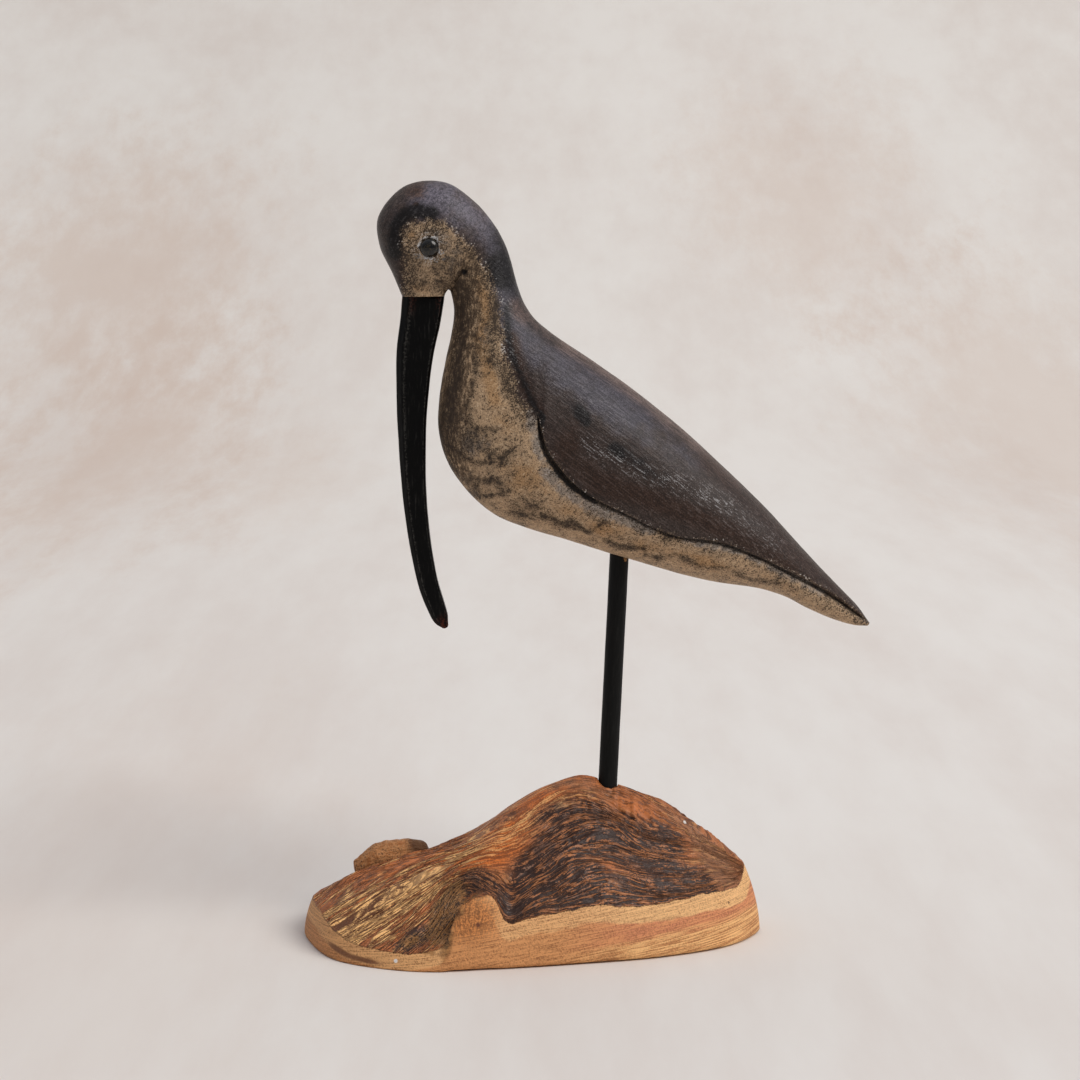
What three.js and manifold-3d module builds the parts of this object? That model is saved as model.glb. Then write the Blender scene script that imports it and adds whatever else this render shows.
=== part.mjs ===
// A carved shorebird decoy on its stand: a long-billed wader whittled from one block, with a
// bill let into its face, two bead eyes, a dowel for a leg and a sawn slice of root wood below.
// Millimetres, +Z up. The bird looks along -X. The origin lies in the base's underside, below
// the plane that halves the bird.

import * as THREE from "three";
import { mergeVertices } from "three/addons/utils/BufferGeometryUtils.js";
import Module from "manifold-3d";

const wasm = await Module();
wasm.setup();

// Driving sizes of the bird
const BIRD_LENGTH = 202.2; // level distance from the forehead to the tip of the tail
const BODY_WIDTH = 54; // across the wings where the bird is widest
const WING_STEP = 0.9; // how far the wings stand proud along their lower edge
const WING_CUT = 1.1; // depth of the knife cut under that edge
const BILL_LENGTH = 137; // from the face straight down to the bill's tip
const BILL_WIDTH = 9.6; // side to side at the face
const TENON_DIAMETER = 8; // round peg at the bill's root
const TENON_LENGTH = 10;
const EYE_DIAMETER = 7.5;
const EYE_DOME = 2.3; // how far a bead stands out of the cheek
const EYE_SEAT = 3; // how deep a bead is let in

// Driving sizes of the stand
const LEG_DIAMETER = 8;
const LEG_SHOWN = 95.2; // dowel in sight between the base and the belly
const LEG_LEAN = 2.65; // degrees from upright, toward the tail
const LEG_SOCKET = 13; // depth of the holes that take the dowel's ends
const BASE_LENGTH = 190.8;
const BASE_WIDTH = 107.8;
const BASE_HEIGHT = 67;
const SAWN_FLARE = 13.5; // degrees that the sawn sides lean outward on their way down
const STUB_DIAMETER = 13; // sawn-off side root at the back
const CLEARANCE = 0.3; // left between one piece and the next

// How finely the free forms are divided
const BODY_STEPS_PER_RIB = 3;
const BACK_COLUMNS = 7;
const BELLY_COLUMNS = 6;
const BASE_COLUMNS = 48;
const BASE_ROWS = 11;
const SAWN_ROWS = 3;
const DOWEL_SIDES = 24;

// The carver's pattern, drawn with the hole for the leg in the belly as its origin. Each rib goes
// from the back to the belly: back x, back z, belly x, belly z, half the width, and how far round
// the side the wing's lower edge runs, as a share of the way from back to belly.
const PATTERN_LENGTH = 202.2;
const PATTERN_WIDTH = 54;
const RIBS = [
  [103.3, -28.0, 102.1, -29.3, 2.2, 0.29],
  [98.5, -22.1, 97.3, -29.0, 4.6, 0.36],
  [90.9, -13.9, 89.4, -26.8, 8.0, 0.39],
  [80.4, -2.4, 77.4, -21.9, 11.6, 0.46],
  [69.9, 8.9, 67.4, -16.6, 14.8, 0.525],
  [57.9, 21.6, 57.9, -13.5, 18.0, 0.552],
  [42.4, 36.8, 39.9, -10.8, 21.8, 0.562],
  [25.3, 52.4, 19.9, -5.9, 24.8, 0.628],
  [7.9, 66.6, -0.1, 0.0, 26.6, 0.622],
  [-8.1, 78.0, -20.1, 6.3, 27.0, 0.603],
  [-21.1, 86.7, -39.1, 12.0, 26.0, 0.513],
  [-29.3, 92.6, -51.1, 17.1, 24.2, 0.385],
  [-34.9, 97.4, -62.4, 27.0, 21.8, 0.37],
  [-38.9, 103.1, -70.4, 39.0, 19.2, 0.37],
  [-41.1, 108.4, -74.1, 52.8, 16.8, 0.37],
  [-42.8, 114.2, -73.6, 66.1, 14.4, 0.38],
  [-44.3, 120.2, -71.2, 79.8, 12.4, 0.39],
  [-46.4, 126.5, -68.6, 91.4, 11.2, 0.4],
  [-48.5, 130.8, -67.5, 101.0, 10.9, 0.42],
  [-50.3, 134.0, -69.0, 108.8, 11.3, 0.44],
  [-58.1, 143.9, -69.6, 109.4, 13.0, 0.45],
  [-70.9, 152.4, -70.0, 109.2, 14.0, 0.45],
  [-86.6, 151.0, -70.3, 108.8, 14.1, 0.45],
  [-97.9, 138.6, -70.6, 108.4, 13.8, 0.45],
  [-97.7, 127.2, -70.9, 107.9, 13.5, 0.45],
  [-92.7, 116.4, -71.1, 107.4, 13.2, 0.45],
  [-88.5, 106.6, -71.3, 106.8, 13.0, 0.45],
];
const SEAM_HEIGHT = RIBS.at(-1)[1]; // where the bill meets the face
const CHEEK_RIB = 19; // the cheek stands over the throat from this rib on
const FACE_RIB = 24; // the forehead gets squarer between this rib and the bill
const FACE_PINCH = 0.5; // the head narrows toward the bill, to near this share of its width
const PINCH_REACH = [-10, 26]; // heights above the bill's root between which it does so
const ROUND = 2.15; // a rib's roundness, where 2 is an ellipse and more is squarer
const CHEEK_SQUARENESS = 3;
const FACE_SQUARENESS = 1.4;
const WING_START = [10.25, 10.65]; // ribs between which the wing's edge rises from the breast
const WING_END = [0, 1.2]; // ribs between which it fades into the tail
const WING_EDGE_WIDTH = 1.3; // from the wing's edge down into the cut
const CUT_WIDTH = 2.6; // from the cut up to the breast again
const WING_BLEND = 16; // from the edge up to where the wing is level with the back
const EYE_RIB = 21.9; // the rib through the eye
const EYE_PLACE = [-76.9, 126.7]; // its x and z on the pattern

// The bill's middle line down from the face, with its depth there: x, z and front to back.
const BILL_DRAWN_LENGTH = 137;
const BILL_LINE = [
  [0, 0, 16.9],
  [-1.2, -9.4, 16.2],
  [-3.6, -24, 14.8],
  [-4.8, -43.7, 12.5],
  [-4.9, -58.5, 11.1],
  [-4.5, -73.3, 10.1],
  [-3.5, -88.2, 9.3],
  [-1.6, -103.1, 8.6],
  [1.3, -118.1, 8.2],
  [4.3, -127.4, 7.5],
  [6.4, -132.8, 6.2],
  [8.3, -136.1, 2.6],
];
const BILL_STEPS = 33;
const BILL_TIP_WIDTH = 0.42; // share of the root's width that is left at the tip
const FRONT_CHAMFER = 0.3; // share of the width taken off each front corner
const REAR_CHAMFER = 0.12;

// The base as drawn, with the height of its sawn side above each point of its outline on the
// ground: x, y, height. The points go from the left end along the front to the right end, which
// is halfway down the list, and back behind.
const BASE_DRAWN = [190.8, 107.8, 67];
const OUTLINE = [
  [-95.3, 1.6, 14.5],
  [-91, -20, 14.8],
  [-80, -42.5, 10.2],
  [-62, -54.3, 7.2],
  [-41, -59.8, 8.4],
  [-13, -56.1, 18],
  [19.5, -49.2, 20.5],
  [52, -40.1, 21],
  [78.9, -25.8, 22],
  [90.5, -11.9, 22.5],
  [95.5, 1.6, 29],
  [90, 16, 23],
  [78, 29, 19],
  [52, 41, 17],
  [22, 47, 16],
  [-8, 48, 14],
  [-38, 45, 11],
  [-60, 41, 10],
  [-80, 33, 10],
  [-91.5, 19, 12],
];
// The crest of the root from left to right: x, y, z.
const CREST = [
  [-66, 6, 26.4],
  [-52, 8, 30.4],
  [-38, 8, 35],
  [-22, 7, 43],
  [-6, 3, 55.4],
  [8, 0, 63.2],
  [21, 0, 67],
  [33, 0, 63.8],
  [46, 1, 59],
  [57, 2, 53.6],
  [70, 3, 43.4],
];
// Above 1 a flank swells outward between the crest and the sawn side
const FRONT_BULGE = 1.3;
const BACK_BULGE = 1;
const SAWN_BULGE = 1.8; // the sawn sides stand upright at the ground and curve in above
// A knot in the front that the saw went through: it lifts the sawn side's upper edge.
const KNOT_X = -23;
const KNOT_REACH = 7;
const KNOT_RISE = 11;
const KNOT_STEEPNESS = 5; // how fast that lift fades from the edge up toward the crest
const LEG_PLACE = 0.688; // where the dowel stands, as a share of the crest's points
// Swellings and hollows of the root: x, y, reach along x, reach along y, height.
const SWELLINGS = [
  [-27, -38, 8, 6, -2],
  [-11, -44, 6, 9, -3.5],
  [-3, -33, 8, 8, -2],
  [8, -22, 9, 8, -1.8],
  [20, -36, 16, 10, 3.5],
  [56, -20, 20, 10, 2.5],
  [-60, -26, 20, 10, 2],
];
const STUB_LEFT = [-75, 21, 24.3]; // ends of the sawn-off side root's middle line
const STUB_RIGHT = [-46, 23, 30];

// Sizes worked out from the driving ones
const bodyScale = BIRD_LENGTH / PATTERN_LENGTH;
const widthScale = BODY_WIDTH / PATTERN_WIDTH;
const billScale = BILL_LENGTH / BILL_DRAWN_LENGTH;
const baseScale = [BASE_LENGTH, BASE_WIDTH, BASE_HEIGHT].map((size, i) => size / BASE_DRAWN[i]);
const lean = THREE.MathUtils.degToRad(LEG_LEAN);
const legWay = new THREE.Vector3(Math.sin(lean), 0, Math.cos(lean));

const mix = THREE.MathUtils.lerp;
const ease = THREE.MathUtils.smoothstep;

/** A smooth curve through rows of three numbers; at(row) takes a fraction of a row too. */
function curveThrough(rows, closed = false) {
  const points = rows.map((row) => new THREE.Vector3(...row));
  const curve = new THREE.CatmullRomCurve3(points, closed);
  return (row) => curve.getPoint(row / (closed ? rows.length : rows.length - 1));
}

const backLine = curveThrough(RIBS.map(([x, z, , , half]) => [x, half, z]));
const bellyLine = curveThrough(RIBS.map(([, , x, z]) => [x, 0, z]));
const wingLine = curveThrough(RIBS.map((rib, i) => [i, rib[5] * Math.PI, 0]));

/** How much of the wing's carved edge there is at a rib, from none to all. */
function wingShare(rib) {
  return ease(rib, ...WING_END) * (1 - ease(rib, ...WING_START));
}

/**
 * A point of the bird's skin in the leg hole's frame. The angle turns round the rib from the
 * back over the near side (-Y) to the belly at pi, and on over the far side.
 */
function skin(rib, angle) {
  const back = backLine(rib);
  const belly = bellyLine(rib);
  const half = back.y;
  const down = -Math.cos(angle);
  const out = Math.sin(angle);
  const face = ease(rib, FACE_RIB, RIBS.length - 1);
  const cheek = ease(rib, CHEEK_RIB, CHEEK_RIB + 1 / BODY_STEPS_PER_RIB);
  const squareness = down > 0 ? CHEEK_SQUARENESS * cheek : FACE_SQUARENESS * face;
  const power = 2 / (ROUND + squareness);
  const share = (1 + Math.sign(down) * Math.abs(down) ** power) / 2;
  const x = mix(back.x, belly.x, share);
  const z = mix(back.z, belly.z, share);
  const pinch = mix(1, mix(FACE_PINCH, 1, ease(z - SEAM_HEIGHT, ...PINCH_REACH)), cheek);
  const y = -Math.sign(out) * half * pinch * Math.abs(out) ** power;
  return new THREE.Vector3(x * bodyScale, y * widthScale, z * bodyScale);
}

/** The rib's middle and its mean radius, both in millimetres. */
function ribCore(rib) {
  const top = skin(rib, 0);
  const bottom = skin(rib, Math.PI);
  const side = skin(rib, Math.PI / 2);
  const radius = (top.distanceTo(bottom) / 2 + Math.abs(side.y)) / 2;
  return { middle: top.add(bottom).multiplyScalar(0.5), radius };
}

/**
 * The columns of one side of a rib from back to belly, each as an angle and how far the carving
 * lifts the skin there. The wing's edge, the cut under it and the breast's edge are columns.
 */
function ribColumns(rib) {
  const line = wingLine(rib).y;
  const share = wingShare(rib);
  const { radius } = ribCore(rib);
  const edge = line - WING_EDGE_WIDTH / radius;
  const breast = line + CUT_WIDTH / radius;
  const columns = [];
  for (let i = 0; i < BACK_COLUMNS; i++) {
    const angle = (edge * i) / BACK_COLUMNS;
    const blend = 1 - ease((edge - angle) * radius, 0, WING_BLEND);
    columns.push([angle, WING_STEP * share * blend]);
  }
  columns.push([edge, WING_STEP * share], [line, -WING_CUT * share], [breast, 0]);
  for (let i = 1; i <= BELLY_COLUMNS; i++) {
    columns.push([mix(breast, Math.PI, i / BELLY_COLUMNS), 0]);
  }
  return columns;
}

/** The closed ring of points round the bird at a rib. */
function ribRing(rib) {
  const columns = ribColumns(rib);
  const mirrored = columns.slice(1, -1).reverse();
  const around = columns.concat(mirrored.map(([angle, lift]) => [2 * Math.PI - angle, lift]));
  const { middle, radius } = ribCore(rib);
  return around.map(([angle, lift]) => {
    const point = skin(rib, angle);
    const way = point.clone().sub(middle).divideScalar(radius);
    return point.addScaledVector(way, lift);
  });
}

/** A closed solid from rings with equal counts of points, its ends closed with flat fans. */
function loft(rings) {
  const count = rings[0].length;
  const points = rings.flat();
  const faces = [];
  for (let ring = 0; ring + 1 < rings.length; ring++) {
    for (let i = 0; i < count; i++) {
      const here = ring * count;
      const next = (i + 1) % count;
      faces.push(here + i, here + count + i, here + next);
      faces.push(here + next, here + count + i, here + count + next);
    }
  }
  const middleOf = (ring) =>
    ring.reduce((sum, point) => sum.add(point), new THREE.Vector3()).divideScalar(count);
  const last = (rings.length - 1) * count;
  const firstMiddle = points.push(middleOf(rings[0])) - 1;
  const lastMiddle = points.push(middleOf(rings.at(-1))) - 1;
  for (let i = 0; i < count; i++) {
    const next = (i + 1) % count;
    faces.push(firstMiddle, i, next);
    faces.push(lastMiddle, last + next, last + i);
  }
  return toGeometry(points, faces);
}

/** Points and a flat list of corners as a geometry. */
function toGeometry(points, faces) {
  const geometry = new THREE.BufferGeometry().setFromPoints(points);
  geometry.setIndex(faces);
  return geometry;
}

/** A geometry as a solid that can be cut and joined. */
function toSolid(geometry) {
  const bare = geometry.clone();
  bare.deleteAttribute("normal");
  bare.deleteAttribute("uv");
  const merged = mergeVertices(bare);
  return new wasm.Manifold(
    new wasm.Mesh({
      numProp: 3,
      vertProperties: new Float32Array(merged.attributes.position.array),
      triVerts: new Uint32Array(merged.index.array),
    }),
  );
}

/** A solid back as a geometry for a mesh. */
function fromSolid(solid) {
  const { vertProperties, triVerts } = solid.getMesh();
  const geometry = new THREE.BufferGeometry();
  geometry.setAttribute("position", new THREE.BufferAttribute(vertProperties, 3));
  geometry.setIndex(new THREE.BufferAttribute(triVerts, 1));
  geometry.computeVertexNormals();
  return geometry;
}

/** A round solid of revolution on the line from one point toward another. */
function turned(profile, from, way, sides) {
  const outline = profile.map(([radius, along]) => new THREE.Vector2(radius, along));
  const geometry = new THREE.LatheGeometry(outline, sides);
  const turn = new THREE.Quaternion().setFromUnitVectors(new THREE.Vector3(0, 1, 0), way);
  return geometry.applyQuaternion(turn).translate(from.x, from.y, from.z);
}

/** A plain peg or hole of a radius between two distances along a line. */
function peg(radius, from, way, start, end, sides = DOWEL_SIDES) {
  const profile = [[0, start], [radius, start], [radius, end], [0, end]];
  return turned(profile, from, way, sides);
}

// Where things sit on the bird, in the leg hole's frame
const lastRib = RIBS.length - 1;
const faceRing = ribRing(lastRib);
const seamFront = skin(lastRib, 0);
const seamRear = skin(lastRib, Math.PI);
const seamDepth = seamFront.distanceTo(seamRear);
const billRoot = seamFront.clone().add(seamRear).multiplyScalar(0.5);
billRoot.z -= CLEARANCE;
const eyeDepth = Math.abs(skin(EYE_RIB, Math.PI / 2).y);
const [eyeX, eyeZ] = EYE_PLACE.map((length) => length * bodyScale);
const legHole = new THREE.Vector3();
const up = new THREE.Vector3(0, 0, 1);

/** The carved block: head, neck, wings and tail in one, with its holes. */
function bodyGeometry() {
  const rings = [];
  const steps = lastRib * BODY_STEPS_PER_RIB;
  for (let i = 0; i < steps; i++) {
    rings.push(ribRing(i / BODY_STEPS_PER_RIB));
  }
  rings.push(faceRing);
  let block = toSolid(loft(rings));
  const tenonHole = TENON_DIAMETER / 2 + CLEARANCE;
  const tenonEnd = TENON_LENGTH + CLEARANCE;
  block = block.subtract(toSolid(peg(tenonHole, billRoot, up, -TENON_LENGTH, tenonEnd)));
  const legRadius = LEG_DIAMETER / 2 + CLEARANCE;
  const legEnd = LEG_SOCKET + CLEARANCE;
  block = block.subtract(toSolid(peg(legRadius, legHole, legWay, -LEG_SOCKET, legEnd)));
  for (const side of [-1, 1]) {
    const spot = new THREE.Vector3(eyeX, side * eyeDepth, eyeZ);
    const way = new THREE.Vector3(0, side, 0);
    const seat = peg(EYE_DIAMETER / 2 + CLEARANCE, spot, way, -EYE_SEAT - CLEARANCE, EYE_SEAT);
    block = block.subtract(toSolid(seat));
  }
  return fromSolid(block);
}

/** One ring of the bill: a box with wide front corners and narrow rear ones taken off. */
function billRing(middle, ahead, depth, width) {
  const front = FRONT_CHAMFER * width;
  const rear = REAR_CHAMFER * width;
  const half = width / 2;
  const outline = [
    [depth / 2, front - half],
    [depth / 2 - front, -half],
    [rear - depth / 2, -half],
    [-depth / 2, rear - half],
  ];
  const corners = outline.concat(outline.map(([along, side]) => [along, -side]).reverse());
  return corners.map(([along, side]) => {
    const point = middle.clone().addScaledVector(ahead, along);
    point.y += side;
    return point;
  });
}

/** The curved bill with the peg at its root, its own origin in the middle of the root. */
function billGeometry() {
  const line = curveThrough(BILL_LINE.map(([x, z, depth]) => [x, depth, z]));
  const rings = [];
  for (let i = 0; i <= BILL_STEPS; i++) {
    const share = i / BILL_STEPS;
    const row = share * (BILL_LINE.length - 1);
    const here = line(row);
    const before = line(Math.max(row - 0.1, 0));
    const after = line(Math.min(row + 0.1, BILL_LINE.length - 1));
    const run = after.sub(before).setY(0).normalize();
    const ahead = i === 0 ? new THREE.Vector3(-1, 0, 0) : new THREE.Vector3(run.z, 0, -run.x);
    const middle = new THREE.Vector3(here.x, 0, here.z).multiplyScalar(billScale);
    const depth = (here.y * seamDepth) / BILL_LINE[0][2];
    const width = Math.min(BILL_WIDTH * mix(1, BILL_TIP_WIDTH, share), depth);
    rings.push(billRing(middle, ahead, depth, width));
  }
  const root = new THREE.Vector3();
  const tenon = peg(TENON_DIAMETER / 2, root, up, -TENON_DIAMETER / 2, TENON_LENGTH);
  return fromSolid(toSolid(loft(rings)).add(toSolid(tenon)));
}

/** A bead eye with its flat back let into the cheek, looking along -Y or +Y. */
function eyeGeometry(side) {
  const radius = EYE_DIAMETER / 2;
  const profile = [[0, -EYE_SEAT], [radius, -EYE_SEAT]];
  const arc = 6;
  for (let i = 0; i < arc; i++) {
    const turn = (i / arc) * (Math.PI / 2);
    profile.push([radius * Math.cos(turn), EYE_DOME * Math.sin(turn)]);
  }
  profile.push([0, EYE_DOME]);
  const way = new THREE.Vector3(0, side, 0);
  return turned(profile, new THREE.Vector3(), way, DOWEL_SIDES);
}

const crestLine = curveThrough(CREST);
const outlineLine = curveThrough(OUTLINE, true);

/** A point of the base's front or back outline, a share of the way from left to right. */
function edgePoint(front, column) {
  const row = (column * OUTLINE.length) / 2;
  return outlineLine(front ? row : (OUTLINE.length - row) % OUTLINE.length);
}

/** A point of the drawn base brought to the driving sizes. */
function toBaseSize(point) {
  return point.multiply(new THREE.Vector3(...baseScale));
}

/** How far the root's swellings and hollows lift its top at a drawn place. */
function swelling(x, y) {
  return SWELLINGS.reduce((sum, [atX, atY, reachX, reachY, height]) => {
    const away = ((x - atX) / reachX) ** 2 + ((y - atY) / reachY) ** 2;
    return sum + height * Math.exp(-away);
  }, 0);
}

/**
 * A point on the base's top, on its front or back flank. The column runs from the left end to
 * the right as a share, and the row from the crest (0) to the sawn side (1).
 */
function baseTop(front, column, row) {
  const crest = crestLine(column * (CREST.length - 1));
  const ground = edgePoint(front, column);
  const knot = front ? KNOT_RISE * Math.exp(-(((ground.x - KNOT_X) / KNOT_REACH) ** 2)) : 0;
  const wall = ground.z + knot;
  const foot = new THREE.Vector3(ground.x, ground.y, 0);
  const inward = new THREE.Vector3(crest.x - foot.x, crest.y - foot.y, 0).normalize();
  const flare = wall * Math.tan(THREE.MathUtils.degToRad(SAWN_FLARE));
  const rim = foot.addScaledVector(inward, flare);
  const x = mix(crest.x, rim.x, row);
  const y = mix(crest.y, rim.y, row);
  const behind = front ? 0 : Math.sin(Math.PI * column);
  const fall = row ** mix(FRONT_BULGE, BACK_BULGE, behind);
  const flank = mix(crest.z, ground.z, fall) + knot * row ** KNOT_STEEPNESS;
  const z = flank + swelling(x, y) * ease(row, 0, 0.3);
  return new THREE.Vector3(x, y, z);
}

/** One column of the base from the crest down the flank and the sawn side to the ground. */
function baseColumn(front, column) {
  const points = [];
  for (let row = 0; row <= BASE_ROWS; row++) {
    points.push(toBaseSize(baseTop(front, column, row / BASE_ROWS)));
  }
  const rim = points.at(-1);
  const ground = toBaseSize(edgePoint(front, column).setZ(0));
  for (let row = 1; row <= SAWN_ROWS; row++) {
    const height = 1 - row / SAWN_ROWS;
    const point = ground.clone().lerp(rim, height ** SAWN_BULGE);
    points.push(point.setZ(rim.z * height));
  }
  return points;
}

/** The root's skin as triangles: the front and back flanks meet along the crest. */
function rootGeometry() {
  const points = [];
  const faces = [];
  const quad = (a, b, c, d) => faces.push(a, b, c, a, c, d);
  const rows = BASE_ROWS + SAWN_ROWS + 1;
  const first = [true, false].map((front) => {
    const start = points.length;
    for (let i = 0; i <= BASE_COLUMNS; i++) {
      points.push(...baseColumn(front, i / BASE_COLUMNS));
    }
    return start;
  });
  for (let i = 0; i < BASE_COLUMNS; i++) {
    for (let row = 0; row + 1 < rows; row++) {
      const front = first[0] + i * rows + row;
      const back = first[1] + i * rows + row;
      quad(front, front + 1, front + rows + 1, front + rows);
      quad(back, back + rows, back + rows + 1, back + 1);
    }
    const [near, far] = first.map((start) => start + i * rows + rows - 1);
    quad(near, far, far + rows, near + rows);
  }
  return toGeometry(points, dropSlivers(points, faces));
}

/** Leaves out triangles with two corners in one place, which the pointed ends bring about. */
function dropSlivers(points, faces) {
  const kept = [];
  for (let i = 0; i < faces.length; i += 3) {
    const [a, b, c] = faces.slice(i, i + 3).map((corner) => points[corner]);
    const shortest = Math.min(a.distanceTo(b), b.distanceTo(c), c.distanceTo(a));
    if (shortest > 1e-6) {
      kept.push(...faces.slice(i, i + 3));
    }
  }
  return kept;
}

/** The short side root at the back, sawn off at both ends and rounded over. */
function stubGeometry() {
  const radius = STUB_DIAMETER / 2;
  const left = toBaseSize(new THREE.Vector3(...STUB_LEFT));
  const right = toBaseSize(new THREE.Vector3(...STUB_RIGHT));
  const length = left.distanceTo(right);
  const way = right.clone().sub(left).normalize();
  const profile = [
    [0, 0],
    [radius * 0.5, 0.8],
    [radius * 0.8, 3.2],
    [radius, length * 0.4],
    [radius * 0.96, length * 0.7],
    [radius * 0.74, length - 2],
    [radius * 0.5, length],
    [0, length],
  ];
  return turned(profile, left, way, 16);
}

const legFoot = toBaseSize(crestLine(LEG_PLACE * (CREST.length - 1)));

/** The slice of root wood with its side root and the hole for the leg. */
function baseGeometry() {
  const root = toSolid(rootGeometry()).add(toSolid(stubGeometry()));
  const radius = LEG_DIAMETER / 2 + CLEARANCE;
  const hole = peg(radius, legFoot, legWay, -LEG_SOCKET - CLEARANCE, LEG_SOCKET);
  return fromSolid(root.subtract(toSolid(hole)));
}

/** The leg: a straight dowel with its origin where it leaves the base. */
function legGeometry() {
  return peg(LEG_DIAMETER / 2, new THREE.Vector3(), legWay, -LEG_SOCKET, LEG_SHOWN + LEG_SOCKET);
}

/** A named mesh with its finish. */
function piece(name, geometry, color, roughness) {
  const material = new THREE.MeshStandardMaterial({ color, roughness, metalness: 0 });
  const mesh = new THREE.Mesh(geometry, material);
  mesh.name = name;
  return mesh;
}

const bird = new THREE.Group();
bird.position.copy(legFoot).addScaledVector(legWay, LEG_SHOWN);
bird.add(piece("body", bodyGeometry(), 0x4a423c, 0.6));

const bill = piece("bill", billGeometry(), 0x141312, 0.4);
bill.position.copy(billRoot);
bird.add(bill);

for (const [name, side] of [["eye_near", -1], ["eye_far", 1]]) {
  const eye = piece(name, eyeGeometry(side), 0x0b0b0c, 0.15);
  eye.position.set(eyeX, side * eyeDepth, eyeZ);
  bird.add(eye);
}

const leg = piece("leg", legGeometry(), 0x1b1a19, 0.6);
leg.position.copy(legFoot);

const decoy = new THREE.Group();
decoy.add(bird, leg, piece("base", baseGeometry(), 0xa9744a, 0.7));

export default decoy;
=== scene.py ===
"""The looks of a carved shorebird decoy: a painted bird on a dowel leg in a slice of root wood.

Shapes are worked out in millimetres in the object's own frame and become meshes in metres. The
bird faces -X, its near side is -Y and +Z is up. Each drawn shape is fitted into the box of the
solid that it stands for.
"""

import logging
import math
from dataclasses import dataclass, field
from enum import Enum
from itertools import product
from typing import Any, Iterator, Mapping, Sequence

import bpy
import numpy as np
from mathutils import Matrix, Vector


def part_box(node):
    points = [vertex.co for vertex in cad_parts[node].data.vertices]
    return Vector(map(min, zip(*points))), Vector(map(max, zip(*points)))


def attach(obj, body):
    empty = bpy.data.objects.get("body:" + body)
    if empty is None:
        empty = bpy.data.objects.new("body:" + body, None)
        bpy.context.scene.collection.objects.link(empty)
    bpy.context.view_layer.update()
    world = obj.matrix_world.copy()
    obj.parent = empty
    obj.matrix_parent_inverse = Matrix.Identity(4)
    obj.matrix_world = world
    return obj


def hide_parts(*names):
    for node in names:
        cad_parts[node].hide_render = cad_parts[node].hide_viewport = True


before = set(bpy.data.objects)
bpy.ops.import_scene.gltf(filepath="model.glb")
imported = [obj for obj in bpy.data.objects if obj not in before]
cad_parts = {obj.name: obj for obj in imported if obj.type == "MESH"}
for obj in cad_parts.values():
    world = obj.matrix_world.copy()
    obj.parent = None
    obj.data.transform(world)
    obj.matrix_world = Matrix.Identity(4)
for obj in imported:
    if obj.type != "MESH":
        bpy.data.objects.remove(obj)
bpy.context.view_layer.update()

Array = np.ndarray
Colour = tuple[float, float, float, float]
Place = tuple[float, float]
Span = tuple[float, float]
Point = tuple[float, float, float]
Piece = bpy.types.Object
MM = 0.001
UP = np.array([0, 0, 1.0])
LOG = logging.getLogger("decoy")


def ease(low: float, high: float, value: Array) -> Array:
    """A smooth step.

    Args:
        low: the value where the step starts.
        high: the value where it ends; lower than low for a falling step.
        value: numbers to look up.
    Returns:
        Shares from 0 to 1.
    """
    share = np.clip((value - low) / (high - low), 0, 1)
    return share * share * (3 - 2 * share)


def mix(one: Any, other: Any, share: Any) -> Any:
    """The value a share of the way from one to the other."""
    return one + (other - one) * share


def hump(value: Array, middle: float, reach: float) -> Array:
    """A round hump of height 1 over the middle that dies away within about twice the reach."""
    return np.exp(-(((value - middle) / reach) ** 2))


def unit(ways: Array) -> Array:
    """Directions with their lengths taken to 1."""
    return ways / np.linalg.norm(ways, axis=-1, keepdims=True)


def all_round(count: int) -> Array:
    """So many angles, evenly spaced over a full turn."""
    return np.linspace(0, 2 * np.pi, count, endpoint=False)


def evened(places: Array, runs: Array, count: int) -> Array:
    """So many places, evenly spaced on a line that runs so far between some close ones."""
    way = np.concatenate([[0], np.cumsum(runs)])
    return np.interp(np.linspace(0, way[-1], count), way, places)


def solid(node: str) -> tuple[Array, Array]:
    """The lowest and the highest corner of a solid's box in millimetres."""
    low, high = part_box(node)
    return np.array(low) / MM, np.array(high) / MM


def seen(red: int, green: int, blue: int) -> Colour:
    """A colour as a screen shows it, from 0 to 255, as the linear light a shader takes."""
    def linear(level: int) -> float:
        """One channel's linear light."""
        share = level / 255
        return share / 12.92 if share <= 0.04045 else ((share + 0.055) / 1.055) ** 2.4

    return linear(red), linear(green), linear(blue), 1.0


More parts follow.
